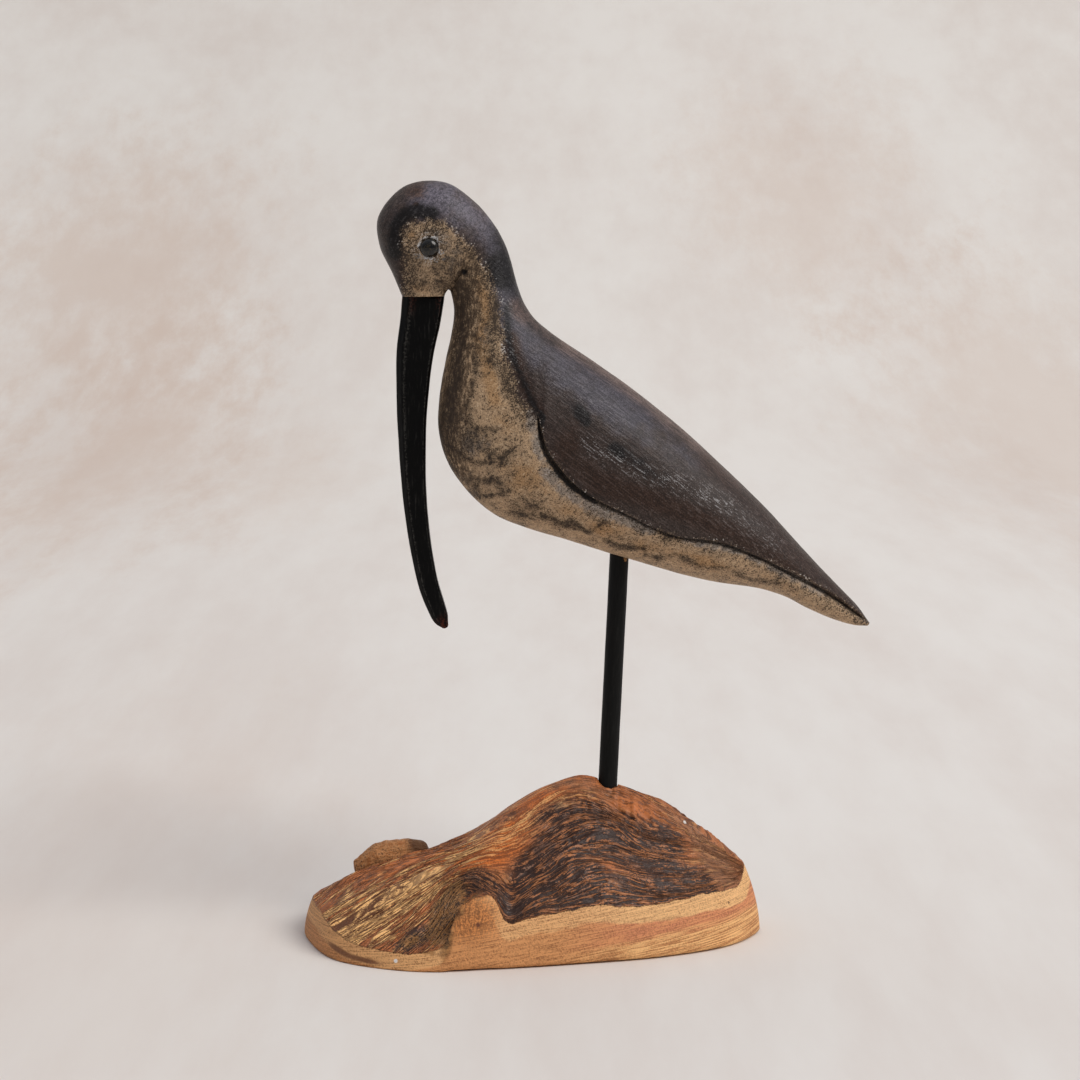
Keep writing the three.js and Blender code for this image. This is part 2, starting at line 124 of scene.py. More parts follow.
@dataclass(frozen=True)
class Curve:
    """A smooth curve through rows of numbers, as a batten bends through nails."""

    nails: Sequence[Sequence[float]]
    closed: bool = False

    def at(self, row: Array) -> Array:
        """Points of the curve.

        Args:
            row: places along it counted in nails from 0, fractions allowed.
        Returns:
            One point for each place.
        """
        nails = np.asarray(self.nails, float)
        count = len(nails)
        row = np.asarray(row, float)
        if self.closed:
            start = np.floor(row).astype(int)
            before, here, there, after = (nails[(start + step) % count] for step in (-1, 0, 1, 2))
        else:
            start = np.clip(np.floor(row).astype(int), 0, count - 2)
            here, there = nails[start], nails[start + 1]
            first, last = (start == 0)[:, None], (start == count - 2)[:, None]
            before = np.where(first, 2 * here - there, nails[np.maximum(start - 1, 0)])
            after = np.where(last, 2 * there - here, nails[np.minimum(start + 2, count - 1)])
        share = (row - start)[:, None]
        gaps = [self.gap(before, here), self.gap(here, there), self.gap(there, after)]
        gaps[0] = np.where(gaps[0] < 1e-4, gaps[1], gaps[0])
        gaps[2] = np.where(gaps[2] < 1e-4, gaps[1], gaps[2])
        lead = self.slope(before, here, there, gaps[0], gaps[1]) * gaps[1]
        tail = self.slope(here, there, after, gaps[1], gaps[2]) * gaps[1]
        square = -3 * here + 3 * there - 2 * lead - tail
        cube = 2 * here - 2 * there + lead + tail
        return here + lead * share + square * share**2 + cube * share**3

    @staticmethod
    def gap(one: Array, other: Array) -> Array:
        """The root of the distance between points, which spaces the curve's knots."""
        return np.maximum(((one - other) ** 2).sum(1) ** 0.25, 1e-4)[:, None]

    @staticmethod
    def slope(one: Array, two: Array, three: Array, gap: Array, next_gap: Array) -> Array:
        """The curve's slope at the middle one of three points, with the gaps between them."""
        return (two - one) / gap - (three - one) / (gap + next_gap) + (three - two) / next_gap

    def drawn(self, steps: int) -> Array:
        """The whole curve as points, so many steps from nail to nail."""
        spans = len(self.nails) - (0 if self.closed else 1)
        return self.at(np.linspace(0, spans, spans * steps + 1))


class Roughcast:
    """Smooth unevenness that is the same each time, from -1 to 1, for relief in the meshes."""

    def __init__(self, seed: int) -> None:
        """Draws the slopes that one seed gives."""
        draw = np.random.default_rng(seed)
        self.order = draw.permutation(256)
        slopes = draw.normal(size=(256, 3))
        self.slopes = slopes / np.linalg.norm(slopes, axis=1)[:, None]

    def at(self, *axes: Array, layers: int = 1) -> Array:
        """The unevenness at places.

        Args:
            axes: up to three coordinates, each in units of one bump's size.
            layers: how many times finer bumps of half the height are added.
        Returns:
            One height for each place.
        """
        shape = np.broadcast(*axes).shape
        flat = [np.broadcast_to(axis, shape).ravel() for axis in axes]
        flat += [np.full(flat[0].shape, 0.37)] * (3 - len(flat))
        places = np.stack(flat, 1).astype(float)
        total = sum(self.layer(places * 2**i + 17.3 * i) / 2**i for i in range(layers))
        return total.reshape(shape)

    def layer(self, places: Array) -> Array:
        """One layer of bumps at places, given as rows of three numbers."""
        cell = np.floor(places).astype(int)
        part = places - cell
        fade = part**3 * (part * (part * 6 - 15) + 10)
        total = np.zeros(len(places))
        for corner in product((0, 1), repeat=3):
            index = np.zeros(len(places), int)
            for axis in range(3):
                index = self.order[(index + cell[:, axis] + corner[axis]) & 255]
            height = ((part - corner) * self.slopes[index]).sum(1)
            total += height * np.where(corner, fade, 1 - fade).prod(1)
        return total * 1.7


@dataclass(frozen=True)
class Ripple:
    """Unevenness of a skin: its seed, its height and one bump's size along each axis."""

    seed: int
    height: float
    size: Point

    def at(self, points: Array) -> Array:
        """How far the skin is lifted at points."""
        places = (points[..., axis] / length for axis, length in enumerate(self.size))
        return self.height * Roughcast(self.seed).at(*places)


@dataclass(frozen=True)
class Weave:
    """Unevenness drawn out along fibres: a bump's length and width, its start and its layers."""

    length: float
    width: float
    start: float = 0.0
    layers: int = 1

    def at(self, noise: Roughcast, along: Array, across: Array) -> Array:
        """The unevenness at places along and across the fibres, from -1 to 1."""
        return noise.at(along / self.length, across / self.width + self.start, layers=self.layers)


def line_distance(places: Array, line: Array) -> Array:
    """How far places are from a line of straight pieces, both as rows of two numbers."""
    nearest = np.full(len(places), np.inf)
    for start, end in zip(line[:-1], line[1:]):
        run = end - start
        share = np.clip((places - start) @ run / max(run @ run, 1e-12), 0, 1)
        gap = np.linalg.norm(places - start - share[:, None] * run, axis=1)
        nearest = np.minimum(nearest, gap)
    return nearest


def walked(places: Array, line: Array) -> tuple[Array, Array]:
    """Where places lie beside a line of straight pieces, both as rows of two numbers.

    Returns:
        Distances walked along the line, and distances from it, which are above 0 at its right.
    """
    nearest = np.full(len(places), np.inf)
    along, beside = np.zeros(len(places)), np.zeros(len(places))
    start_way = 0.0
    for start, end in zip(line[:-1], line[1:]):
        run = end - start
        length = math.hypot(*run)
        way = (places - start) @ run / max(length, 1e-9)
        part = np.clip(way, 0, length)
        gap = places - start - (part / max(length, 1e-9))[:, None] * run
        away = np.hypot(gap[:, 0], gap[:, 1])
        closer = away < nearest
        nearest = np.where(closer, away, nearest)
        along = np.where(closer, start_way + part, along)
        side = gap[:, 0] * run[1] - gap[:, 1] * run[0]
        beside = np.where(closer, np.copysign(away, side), beside)
        start_way += length
    return along, beside


@dataclass(frozen=True)
class Daub:
    """A soft touch of the brush in a flat view: its middle, reach both ways, strength and turn."""

    x: float
    y: float
    long: float
    short: float
    strength: float = 1.0
    turn: float = 0.0

    def at(self, x: Array, y: Array) -> Array:
        """The daub's strength at places of the view."""
        cos, sin = math.cos(math.radians(self.turn)), math.sin(math.radians(self.turn))
        along = (x - self.x) * cos + (y - self.y) * sin
        across = (y - self.y) * cos - (x - self.x) * sin
        return self.strength * np.exp(-((along / self.long) ** 2) - (across / self.short) ** 2)


@dataclass(frozen=True)
class Stroke:
    """A soft brush stroke in a flat view along a smooth line, with its half width and strength."""

    line: tuple[Place, ...]
    width: float
    strength: float = 1.0

    def at(self, x: Array, y: Array) -> Array:
        """The stroke's strength at places of the view."""
        away = line_distance(np.stack([x, y], 1), Curve(self.line).drawn(5))
        return self.strength * np.exp(-((away / self.width) ** 2))


Touches = tuple[Daub | Stroke, ...]


def painted(touches: Touches, x: Array, y: Array) -> Array:
    """All touches together at places of a view, each covering a share of what is left bare."""
    bare = np.ones(x.size)
    for touch in touches:
        bare = bare * (1 - np.clip(touch.at(x.ravel(), y.ravel()), 0, 1))
    return (1 - bare).reshape(x.shape)


@dataclass(frozen=True)
class Patch:
    """A patch of a flat view: a smooth edge that far corners close outside the object."""

    edge: tuple[Place, ...]
    beyond: tuple[Place, ...] = ()

    def distance(self, x: Array, y: Array) -> Array:
        """How far inside the patch's edge places are; outside it is less than nothing."""
        shape, x, y = x.shape, x.ravel(), y.ravel()
        places = np.stack([x, y], 1)
        edge = Curve(self.edge).drawn(6)
        ring = np.concatenate([edge, np.asarray(self.beyond, float).reshape(-1, 2), edge[:1]])
        inside = np.zeros(len(places), bool)
        for (ax, ay), (bx, by) in zip(ring[:-1], ring[1:]):
            if ay != by:
                crossed = (ay > y) != (by > y)
                inside ^= crossed & (x < ax + (bx - ax) * (y - ay) / (by - ay))
        away = line_distance(places, edge)
        return np.where(inside, away, -away).reshape(shape)


class Form:
    """A mesh in the making: points in millimetres, faces and named numbers for each point."""

    def __init__(self) -> None:
        """Starts with nothing."""
        self.points: list[Array] = []
        self.faces: list[tuple[int, ...]] = []
        self.fields: dict[str, list[Array]] = {}
        self.count = 0

    def add(self, points: Array, fields: Mapping[str, Array] | None = None) -> int:
        """Adds points with their named numbers and returns the first one's index."""
        first = self.count
        self.points.append(points.reshape(-1, 3))
        self.count += len(self.points[-1])
        for name, values in (fields or {}).items():
            self.fields.setdefault(name, []).append(values.ravel())
        return first

    def quads(self, corners: Array) -> None:
        """Adds faces with four corners each; corners that are the same point are taken once."""
        rows = corners.reshape(-1, 4).tolist()
        rows = [tuple(dict.fromkeys(row)) for row in rows]
        self.faces += [row for row in rows if len(row) > 2]

    def mesh(self, name: str) -> Piece:
        """The finished object in the scene, smooth and in metres."""
        made = bpy.data.meshes.new(name)
        made.from_pydata(np.concatenate(self.points) * MM, [], self.faces)
        for field_name, parts in self.fields.items():
            values = np.concatenate(parts).astype(np.float32)
            layer = made.attributes.new(field_name, "FLOAT", "POINT")
            layer.data.foreach_set("value", values)
        made.shade_smooth()
        made.validate()
        made.update()
        piece = bpy.data.objects.new(name, made)
        bpy.context.scene.collection.objects.link(piece)
        return piece


def grid_faces(index: Array) -> Array:
    """The corners of the faces between the points of a grid, given as the points' numbers."""
    return np.stack([index[:-1, :-1], index[1:, :-1], index[1:, 1:], index[:-1, 1:]], -1)


def tube(rings: Array, fields: Mapping[str, Array]) -> Form:
    """A closed form from rings of points, with its two ends closed by fans.

    Args:
        rings: points by row and column.
        fields: named numbers for each point, in the same layout.
    Returns:
        The form with all the rings' points and one more in the middle of each end.
    """
    rows, columns = rings.shape[:2]
    form = Form()
    form.add(rings, fields)
    index = np.arange(rows * columns).reshape(rows, columns)
    form.quads(grid_faces(np.concatenate([index, index[:, :1]], 1)))
    for row, turned in ((0, False), (rows - 1, True)):
        middle = form.add(rings[row].mean(0), {n: v[row].mean() for n, v in fields.items()})
        for column in range(columns):
            here = row * columns + column
            there = row * columns + (column + 1) % columns
            form.faces.append((middle, there, here) if turned else (middle, here, there))
    return form


def facing(points: Array, closed: bool) -> Array:
    """The way a grid of points faces, worked out from its neighbours along both axes."""
    down = np.gradient(points, axis=0)
    if closed:
        wide = np.concatenate([points[:, -1:], points, points[:, :1]], 1)
        across = (wide[:, 2:] - wide[:, :-2]) / 2
    else:
        across = np.gradient(points, axis=1)
    way = np.cross(down, across)
    return way / np.maximum(np.linalg.norm(way, axis=-1, keepdims=True), 1e-9)


def dowel(name: str, start: Array, end: Array, radius: float, sides: int = 48) -> Piece:
    """A plain round bar from one point to another, which is used to cut a socket."""
    way = unit(end - start)
    side = unit(np.cross(way, [0.0, 1.0, 0.0] if abs(way[1]) < 0.9 else [1.0, 0.0, 0.0]))
    other = np.cross(side, way)
    turn = all_round(sides)[:, None]
    ring = radius * (np.cos(turn) * side + np.sin(turn) * other)
    return tube(np.stack([start + ring, end + ring]), {}).mesh(name)


class Joinery(Enum):
    """How one mesh is brought together with another."""

    CUT = "DIFFERENCE"
    JOIN = "UNION"


def joined(piece: Piece, other: Piece, how: Joinery) -> None:
    """Cuts or joins another mesh with a piece and throws the other one away."""
    step = piece.modifiers.new(how.name.lower(), "BOOLEAN")
    step.operation = how.value
    step.solver = "MANIFOLD"
    step.object = other
    graph = bpy.context.evaluated_depsgraph_get()
    made = bpy.data.meshes.new_from_object(piece.evaluated_get(graph))
    piece.modifiers.clear()
    spent, spent_other = piece.data, other.data
    piece.data = made
    bpy.data.objects.remove(other)
    for mesh in (spent, spent_other):
        bpy.data.meshes.remove(mesh)


@dataclass(frozen=True)
class Fit:
    """A scale and a shift for each axis that bring a drawn shape into its solid's box."""

    scale: Array
    shift: Array

    @classmethod
    def into(cls, node: str, drawn: Array) -> "Fit":
        """The fit of a drawn shape's points into the box of a solid."""
        low, high = solid(node)
        flat = drawn.reshape(-1, 3)
        scale = (high - low) / (flat.max(0) - flat.min(0))
        return cls(scale, low - flat.min(0) * scale)

    def at(self, points: Array) -> Array:
        """Points brought into the box."""
        return points * self.scale + self.shift


@dataclass
class Bird:
    """The carved block of head, neck, wings and tail, drawn from the leg hole in the belly.

    A rib's numbers are the back's x and z, the belly's x and z, half the width and the wing
    line's place, as a share of the way round from the back to the belly.
    """

    node: str = "body"
    ribs: tuple[tuple[float, ...], ...] = (
        (103.3, -28.0, 102.1, -29.3, 2.2, 0.29),
        (98.5, -22.1, 97.3, -29.0, 4.6, 0.36),
        (90.9, -13.9, 89.4, -26.8, 8.0, 0.39),
        (80.4, -2.4, 77.4, -21.9, 11.6, 0.46),
        (69.9, 8.9, 67.4, -16.6, 14.8, 0.525),
        (57.9, 21.6, 57.9, -13.5, 18.0, 0.552),
        (42.4, 36.8, 39.9, -10.8, 21.8, 0.562),
        (25.3, 52.4, 19.9, -5.9, 24.8, 0.628),
        (7.9, 66.6, -0.1, 0.0, 26.6, 0.622),
        (-8.1, 78.0, -20.1, 6.3, 27.0, 0.603),
        (-21.1, 86.7, -39.1, 12.0, 26.0, 0.513),
        (-29.3, 92.6, -51.1, 17.1, 24.2, 0.385),
        (-34.9, 97.4, -62.4, 27.0, 21.8, 0.37),
        (-38.9, 103.1, -70.4, 39.0, 19.2, 0.37),
        (-41.1, 108.4, -74.1, 52.8, 16.8, 0.37),
        (-42.8, 114.2, -73.6, 66.1, 14.4, 0.38),
        (-44.3, 120.2, -71.2, 79.8, 12.4, 0.39),
        (-46.4, 126.5, -68.6, 91.4, 11.2, 0.4),
        (-48.5, 130.8, -67.5, 101.0, 10.9, 0.42),
        (-50.3, 134.0, -69.0, 108.8, 11.3, 0.44),
        (-58.1, 143.9, -69.6, 109.4, 13.0, 0.45),
        (-70.9, 152.4, -70.0, 109.2, 14.0, 0.45),
        (-86.6, 151.0, -70.3, 108.8, 14.1, 0.45),
        (-97.9, 138.6, -70.6, 108.4, 13.8, 0.45),
        (-97.7, 127.2, -70.9, 107.9, 13.5, 0.45),
        (-92.7, 116.4, -71.1, 107.4, 13.2, 0.45),
        (-88.5, 106.6, -71.3, 106.8, 13.0, 0.45),
    )
    cheek_rib: float = 19.0
    cheek_step: float = 0.2
    cheek_fade: float = 3.0
    cheek_angles: Span = (1.85, 1.4)  # from the belly, where the jaw's crease ends
    face_rib: float = 24.0
    seam_height: float = 106.6
    face_pinch: float = 0.5
    pinch_reach: Span = (-10.0, 26.0)
    roundness: float = 2.15
    cheek_squareness: float = 3.0
    face_squareness: float = 1.4
    wing_start: Span = (10.25, 10.65)
    wing_end: Span = (0.0, 1.2)
    wing_step: float = 0.9
    wing_blend: float = 16.0
    wing_lip: Span = (0.2, -1.2)  # where the wing's edge rises, in mm below its line
    bend_ribs: Span = (7.8, 9.4)
    cut_depth: Span = (1.2, 1.9)  # toward the tail, and at the wing's bend
    cut_width: Span = (2.1, 3.3)
    cut_start: Span = (-1.0, 0.1)
    thin_radius: float = 8.0  # the cut is narrower where the bird is thinner than this
    cut_bulge: float = 1.6
    cut_columns: tuple[float, ...] = (  # in mm below the wing line
        -3.2, -2.3, -1.7, -1.25, -0.9, -0.6, -0.35, -0.1, 0.15, 0.45, 0.8, 1.25, 1.8, 2.6, 3.6,
    )
    back_columns: int = 44
    belly_columns: int = 44
    row_count: int = 420
    samples: int = 4001
    fine_ribs: tuple[Point, ...] = ((3, 19.1, 0.3), (0.9, 10.4, 0.4))  # more rows, rib and reach
    ripples: tuple[Ripple, ...] = (Ripple(3, 0.22, (21, 17, 21)), Ripple(4, 0.05, (5, 5, 5)))
    calm_ribs: Span = (3.0, 1.0)  # the ripples fade out over these at both ends
    throat_pit: Place = (-27.2, 276.2)
    pit_depth: float = 1.0
    pit_reach: float = 1.3
    eye_ring: float = 5.9
    ring_depth: float = 0.3
    ring_reach: float = 0.7
    rim_depth: float = 0.35
    rim_edge: Span = (4.6, 3.9)
    tenon: float = 8.0
    tenon_length: float = 10.0
    leg_socket: float = 13.0
    clearance: float = 0.3

    def __post_init__(self) -> None:
        """Bends the long curves through the ribs."""
        self.last = len(self.ribs) - 1.0
        self.back = Curve([(x, half, z) for x, z, _, _, half, _ in self.ribs])
        self.belly = Curve([(x, 0, z) for _, _, x, z, _, _ in self.ribs])
        self.wing_line = Curve([(i, rib[5] * math.pi, 0) for i, rib in enumerate(self.ribs)])

    def skin(self, rib: Array, angle: Array) -> Array:
        """Points of the plain skin.

        Args:
            rib: places along the bird, counted in ribs from the tail.
            angle: for each rib a row of angles, from the back over the near side to the belly.
        Returns:
            Points by rib and angle.
        """
        back, belly = self.back.at(rib)[:, None], self.belly.at(rib)[:, None]
        down, out = -np.cos(angle), np.sin(angle)
        face = ease(self.face_rib, self.last, rib)[:, None]
        crease = ease(*self.cheek_angles, np.abs(angle - math.pi))
        reach = mix(self.cheek_fade, self.cheek_step, crease)
        start = self.cheek_rib + (self.cheek_step - reach) / 2
        cheek = ease(0, 1, (rib[:, None] - start) / reach)
        squareness = np.where(down > 0, self.cheek_squareness * cheek, self.face_squareness * face)
        power = 2 / (self.roundness + squareness)
        share = (1 + np.sign(down) * np.abs(down) ** power) / 2
        x = mix(back[..., 0], belly[..., 0], share)
        z = mix(back[..., 2], belly[..., 2], share)
        narrow = mix(self.face_pinch, 1, ease(*self.pinch_reach, z - self.seam_height))
        half = back[..., 1] * mix(1, narrow, cheek)
        y = -np.sign(out) * half * np.abs(out) ** power
        return np.stack([x, y, z], -1)

    def core(self, rib: Array) -> tuple[Array, Array]:
        """The middle and the mean radius of ribs."""
        top, side, bottom = (self.skin(rib, np.full((len(rib), 1), turn))[:, 0]
                             for turn in (0, math.pi / 2, math.pi))
        arm = np.linalg.norm(top - bottom, axis=1) / 2
        return (top + bottom) / 2, (arm + np.abs(side[:, 1])) / 2

    def stations(self) -> Array:
        """The ribs to build, closer together where the carving is fine."""
        fine = np.linspace(0, self.last, self.samples)
        top, bottom = self.back.at(fine)[:, [0, 2]], self.belly.at(fine)[:, [0, 2]]
        runs = [np.linalg.norm(np.diff(line, axis=0), axis=1) for line in (top, bottom)]
        middle = (fine[1:] + fine[:-1]) / 2
        care = 1 + sum(more * hump(middle, rib, reach) for more, rib, reach in self.fine_ribs)
        return evened(fine, np.maximum(*runs) * care, self.row_count)

    def columns(self, rib: Array, radius: Array) -> tuple[Array, Array]:
        """The angles of each rib's columns and how far they lie below the wing line.

        Args:
            rib: places along the bird.
            radius: the ribs' mean radii.
        Returns:
            Angles by rib and column, all the way round, and the distances in millimetres.
        """
        line = self.wing_line.at(rib)[:, 1]
        zone = np.clip(radius / self.thin_radius, 0, 1)[:, None] * np.array(self.cut_columns)
        cut = line[:, None] + zone / radius[:, None]
        upper = cut[:, :1] * np.linspace(0, 1, self.back_columns, endpoint=False)
        lower = mix(cut[:, -1:], math.pi, np.linspace(0, 1, self.belly_columns + 1)[1:])
        half = np.concatenate([upper, cut, lower], 1)
        below = (half - line[:, None]) * radius[:, None]
        angle = np.concatenate([half, 2 * math.pi - half[:, -2:0:-1]], 1)
        return angle, np.concatenate([below, below[:, -2:0:-1]], 1)

    def wing_share(self, rib: Array) -> Array:
        """How much of the wing's carved edge there is at ribs, from none to all."""
        return ease(*self.wing_end, rib) * (1 - ease(*self.wing_start, rib))

    def carving(self, rib: Array, below: Array) -> tuple[Array, Array]:
        """The wing's edge and the cut under it.

        Args:
            rib: places along the bird.
            below: how far each column lies below the wing line.
        Returns:
            How far the skin is lifted, and how deep in the cut it lies, from 0 to 1.
        """
        share = self.wing_share(rib)[:, None]
        bend = ease(*self.bend_ribs, rib)[:, None]
        wing = self.wing_step * (1 - ease(0, self.wing_blend, -below)) * ease(*self.wing_lip, below)
        width = mix(*self.cut_width, bend)
        across = np.clip((below - self.cut_start[1]) / width, 0, 1)
        cut = ease(*self.cut_start, below) * (1 - across) ** self.cut_bulge
        return share * (wing - mix(*self.cut_depth, bend) * cut), share * cut

    def shaped(self) -> tuple[Array, dict[str, Array]]:
        """The skin with its carving, in place.

        Returns:
            Points by row and column, and named numbers for each of them.
        """
        rib = self.stations()
        middle, radius = self.core(rib)
        angle, below = self.columns(rib, radius)
        lift, cut = self.carving(rib, below)
        plain = self.skin(rib, angle)
        way = (plain - middle[:, None]) / radius[:, None, None]
        drawn = plain + way * lift[..., None]
        points = Fit.into(self.node, drawn).at(drawn)
        x, _, z = np.moveaxis(points, -1, 0)
        eye_x, eye_z = EYES.place()
        eye = np.hypot(x - eye_x, z - eye_z)
        pit = np.hypot(x - self.throat_pit[0], z - self.throat_pit[1])
        height = sum(ripple.at(points) for ripple in self.ripples)
        at_tail, at_face = self.calm_ribs
        height = height * (ease(0, at_tail, rib) * ease(self.last, self.last - at_face, rib))[:, None]
        height -= self.ring_depth * hump(eye, self.eye_ring, self.ring_reach)
        height -= self.rim_depth * ease(*self.rim_edge, eye)
        height -= self.pit_depth * hump(pit, 0, self.pit_reach)
        points = points + facing(points, True) * height[..., None]
        fields = {"below": below, "cut": cut, "eye": eye, "pit": pit}
        fields["rib"] = np.broadcast_to(rib[:, None], below.shape)
        return points, fields

    def build(self) -> Piece:
        """The painted block with its sockets for the bill, the eyes and the leg."""
        points, fields = self.shaped()
        fields |= PAINTWORK.fields(points, fields)
        piece = tube(points, fields).mesh("painted_bird")
        for cutter in self.sockets():
            joined(piece, cutter, Joinery.CUT)
        return piece

    def sockets(self) -> list[Piece]:
        """Round bars where the bill's peg, the leg and the beads are let in."""
        root, gap = BILL.root(), self.clearance
        peg_end = root + UP * (self.tenon_length + gap)
        bars = [dowel("peg_hole", root - UP, peg_end, self.tenon / 2 + gap)]
        bars.append(LEG.socket("leg_hole", True))
        for side in EYES.sides:
            seat, outside, radius = EYES.seat(side)
            bars.append(dowel("eye_seat", seat, outside, radius + EYES.seat_gap, EYES.segments))
        return bars


@dataclass(frozen=True)
class Paintwork:
    """Where each paint, wear, painted sheen and painted shade lies on the bird, seen from its side."""

    pale_edge: tuple[Place, ...] = (
        (-52.2, 260), (-51.6, 266.2), (-51.1, 274), (-50.9, 281), (-51.2, 288), (-50.8, 293.2),
        (-47.8, 295.6), (-43.4, 296.4), (-36.7, 296.2), (-33, 294.5), (-29.9, 291.2),
        (-26.7, 288.4), (-22.9, 284), (-20.5, 280.5), (-18.2, 276.5), (-15.6, 271),
        (-13.9, 266.2), (-13.1, 260.3), (-11.9, 251.7), (-11, 242.6), (-7, 234.8),
        (-6, 227.8), (-1.2, 221.7), (2.4, 214.1), (7.7, 202.3), (21.9, 187.8), (49.1, 174.6),
        (80.6, 166.8), (102, 155.9), (121, 145.2), (134.5, 135.2), (144, 128),
    )
    beyond: tuple[Place, ...] = ((160, 90), (-100, 90), (-100, 256))
    wing_ribs: Span = (10.75, 10.35)
    wash: Touches = (
        Stroke(((-28, 272), (-28, 253), (-30, 237), (-32, 224), (-34, 212)), 2.6, 0.75),
        Stroke(((-22, 250), (-23, 235), (-26, 222)), 1.5, 0.55),
        Stroke(((-33, 228), (-37, 212), (-36, 196), (-30, 183), (-19, 176), (-5, 171)), 2.2, 0.7),
        Daub(-25, 209, 8, 4, 0.55),
        Daub(-17, 204, 6, 2.4, 0.6, -20),
        Daub(-11, 200, 4, 1.6, 0.7, 20),
        Daub(-17, 192, 7, 2.4, 0.65, -10),
        Daub(-24, 190, 6, 2.2, 0.55, -60),
        Daub(-1, 182, 6, 3, 0.6, -20),
        Daub(-4, 178.5, 6, 1.6, 0.75, -8),
        Stroke(((5, 178), (12, 175.5), (17, 173.5)), 1.5, 0.75),
        Stroke(((16, 176), (23, 172), (29, 176)), 1.4, 0.7),
        Stroke(((30, 168), (37, 165.5), (45, 165)), 1.4, 0.7),
        Stroke(((46, 162), (53, 161), (58, 163)), 1.3, 0.6),
        Stroke(((60, 162), (68, 158), (79, 157)), 1.3, 0.55),
        Stroke(((82, 155), (90, 151), (101, 150)), 1.2, 0.5),
        Daub(-38, 280, 13, 13, 0.5),
        Stroke(((-17, 273), (-16, 255), (-17, 238)), 4, 0.4),
        Stroke(((-34, 206), (-24, 200), (-14, 201), (-8, 206)), 1.3, 0.75),
        Stroke(((-36, 192), (-27, 186), (-17, 186), (-9, 189)), 1.3, 0.7),
        Stroke(((-30, 220), (-22, 214), (-14, 214)), 1.5, 0.55),
        Daub(-40, 271, 7, 2.5, 0.4, -10),
        Daub(-31, 268.5, 4, 1.6, 0.7),
        Daub(-14, 262, 2, 8, 0.5),
        Daub(-10, 232, 2.5, 9, 0.6, 25),
    )
    warm: Touches = (
        Stroke(((-21, 273), (-18, 261), (-20, 250), (-18, 239), (-15, 226)), 3.6, 0.9),
        Daub(-48, 291, 3.4, 3.4, 0.9),
        Daub(-46, 270, 5, 2.6, 0.9),
        Daub(-10, 217, 7, 5, 0.7, -50),
        Daub(-3, 194, 10, 7, 1, -35),
        Daub(15, 181, 7, 4, 0.7, -20),
        Daub(30, 173.5, 8, 4.5, 0.9, -15),
        Daub(46, 166, 9, 3.5, 0.7, -12),
        Daub(70, 160, 12, 4, 0.8, -14),
        Daub(104, 149, 16, 4, 0.5, -25),
        Daub(-32, 230, 4, 14, 0.35, 10),
    )
    smoke: Touches = (
        Stroke(((0, 220), (1, 212), (4, 203)), 3.0, 0.9),
        Stroke(((6, 197), (12, 190), (22, 184), (34, 179), (48, 173.5)), 3.4, 0.95),
        Stroke(((62, 169), (74, 166.5), (86, 163.5), (100, 156), (118, 146)), 2.6, 0.85),
        Daub(-23, 207, 9, 7, 0.6),
        Daub(-32, 281, 8, 9, 0.5),
        Daub(-37, 290, 9, 4, 0.5),
        Daub(-19, 251, 3.5, 6, 0.5),
        Daub(-13, 271, 3, 3, 0.6),
        Daub(-27, 194, 7, 5, 0.4),
    )
    streaks: Touches = (
        Stroke(((-26, 276), (-27, 255), (-30, 236), (-33, 215), (-32, 195)), 7.0, 1.0),
        Daub(-30, 262, 6, 14, 0.8),
    )
    # violet: the violet-grey band over the back, nape and crown, a painted sheen of the light from
    # above.
    violet: Touches = (
        Stroke(((-37, 303), (-21, 296), (-12, 281), (-8, 264), (2, 246), (18, 234), (40, 219)), 8, 0.8),
        Stroke(((18, 234), (45, 217), (64, 201)), 8, 0.5),
        Daub(-40, 306, 12, 6, 0.9, 20),
        Stroke(((-11, 268), (-9, 256)), 3.0, 0.7),
    )
    # gleam lightens the crown and a spot on the back of the neck: a painted highlight.
    gleam: Touches = (
        Daub(-40, 305, 13, 8, 1, 20), Daub(-24, 298, 10, 7, 0.9, -40), Daub(-6, 250, 3, 5, 0.4, 20),
    )
    # rose paints the warm backdrop's reflection along the top edges of the back, crown and tail.
    rose: Touches = (
        Stroke(((-6, 262), (8, 252), (28, 239), (60, 215), (84, 192)), 5.0, 0.8),
        Daub(-47, 309, 5, 4, 0.6),
        Daub(12, 206, 4, 10, 0.6, -20),
        Stroke(((112, 154), (124, 145), (135, 135)), 1.2, 0.8),
    )
    rust: Touches = (
        Stroke(((-8, 250), (-6, 240), (-2, 230), (3, 221)), 3.4, 0.9),
        Stroke(((72, 200), (92, 182), (114, 162)), 7.0, 0.55),
        Daub(14, 208, 6, 11, 0.8, -20),
        Daub(22, 196, 14, 7, 0.7, -45),
        Stroke(((30, 192), (58, 182), (82, 172), (104, 160), (128, 142)), 5.5, 0.95),
        Daub(-47, 309, 5, 4, 0.75),
        Daub(-46.5, 303, 1.4, 1.2, 0.9),
        Stroke(((-52.6, 268), (-52.2, 280), (-52.4, 292)), 1.6, 0.85),
        Stroke(((112, 154), (124, 145), (135, 135)), 1.2, 1.0),
        Daub(136, 133, 5, 4, 0.6, -30),
    )
    # soot: dark smudges, and painted shade beside the carved groove at the wing's bend.
    soot: Touches = (
        Daub(20, 220, 5, 2.6, 1.2, -50),
        Stroke(((4, 219), (2.2, 213), (3.6, 206), (8, 199), (15, 191.5), (24, 185.5)), 2.0, 1.0),
        Daub(34, 206, 4.2, 2.4, 0.85, -35),
        Stroke(((-55, 284), (-54, 294), (-49, 300), (-40, 299.5)), 3.6, 0.85),
        Daub(-12.5, 276, 7, 6, 1.3, -30),
        Stroke(((-14, 292), (-7, 272), (-2, 259), (8, 249)), 4.5, 0.42),
        Stroke(((-10, 262), (-8.5, 246), (-3, 232), (2, 222)), 2.0, 0.6),
        Daub(44, 200, 14, 4, 0.5, -36),
    )
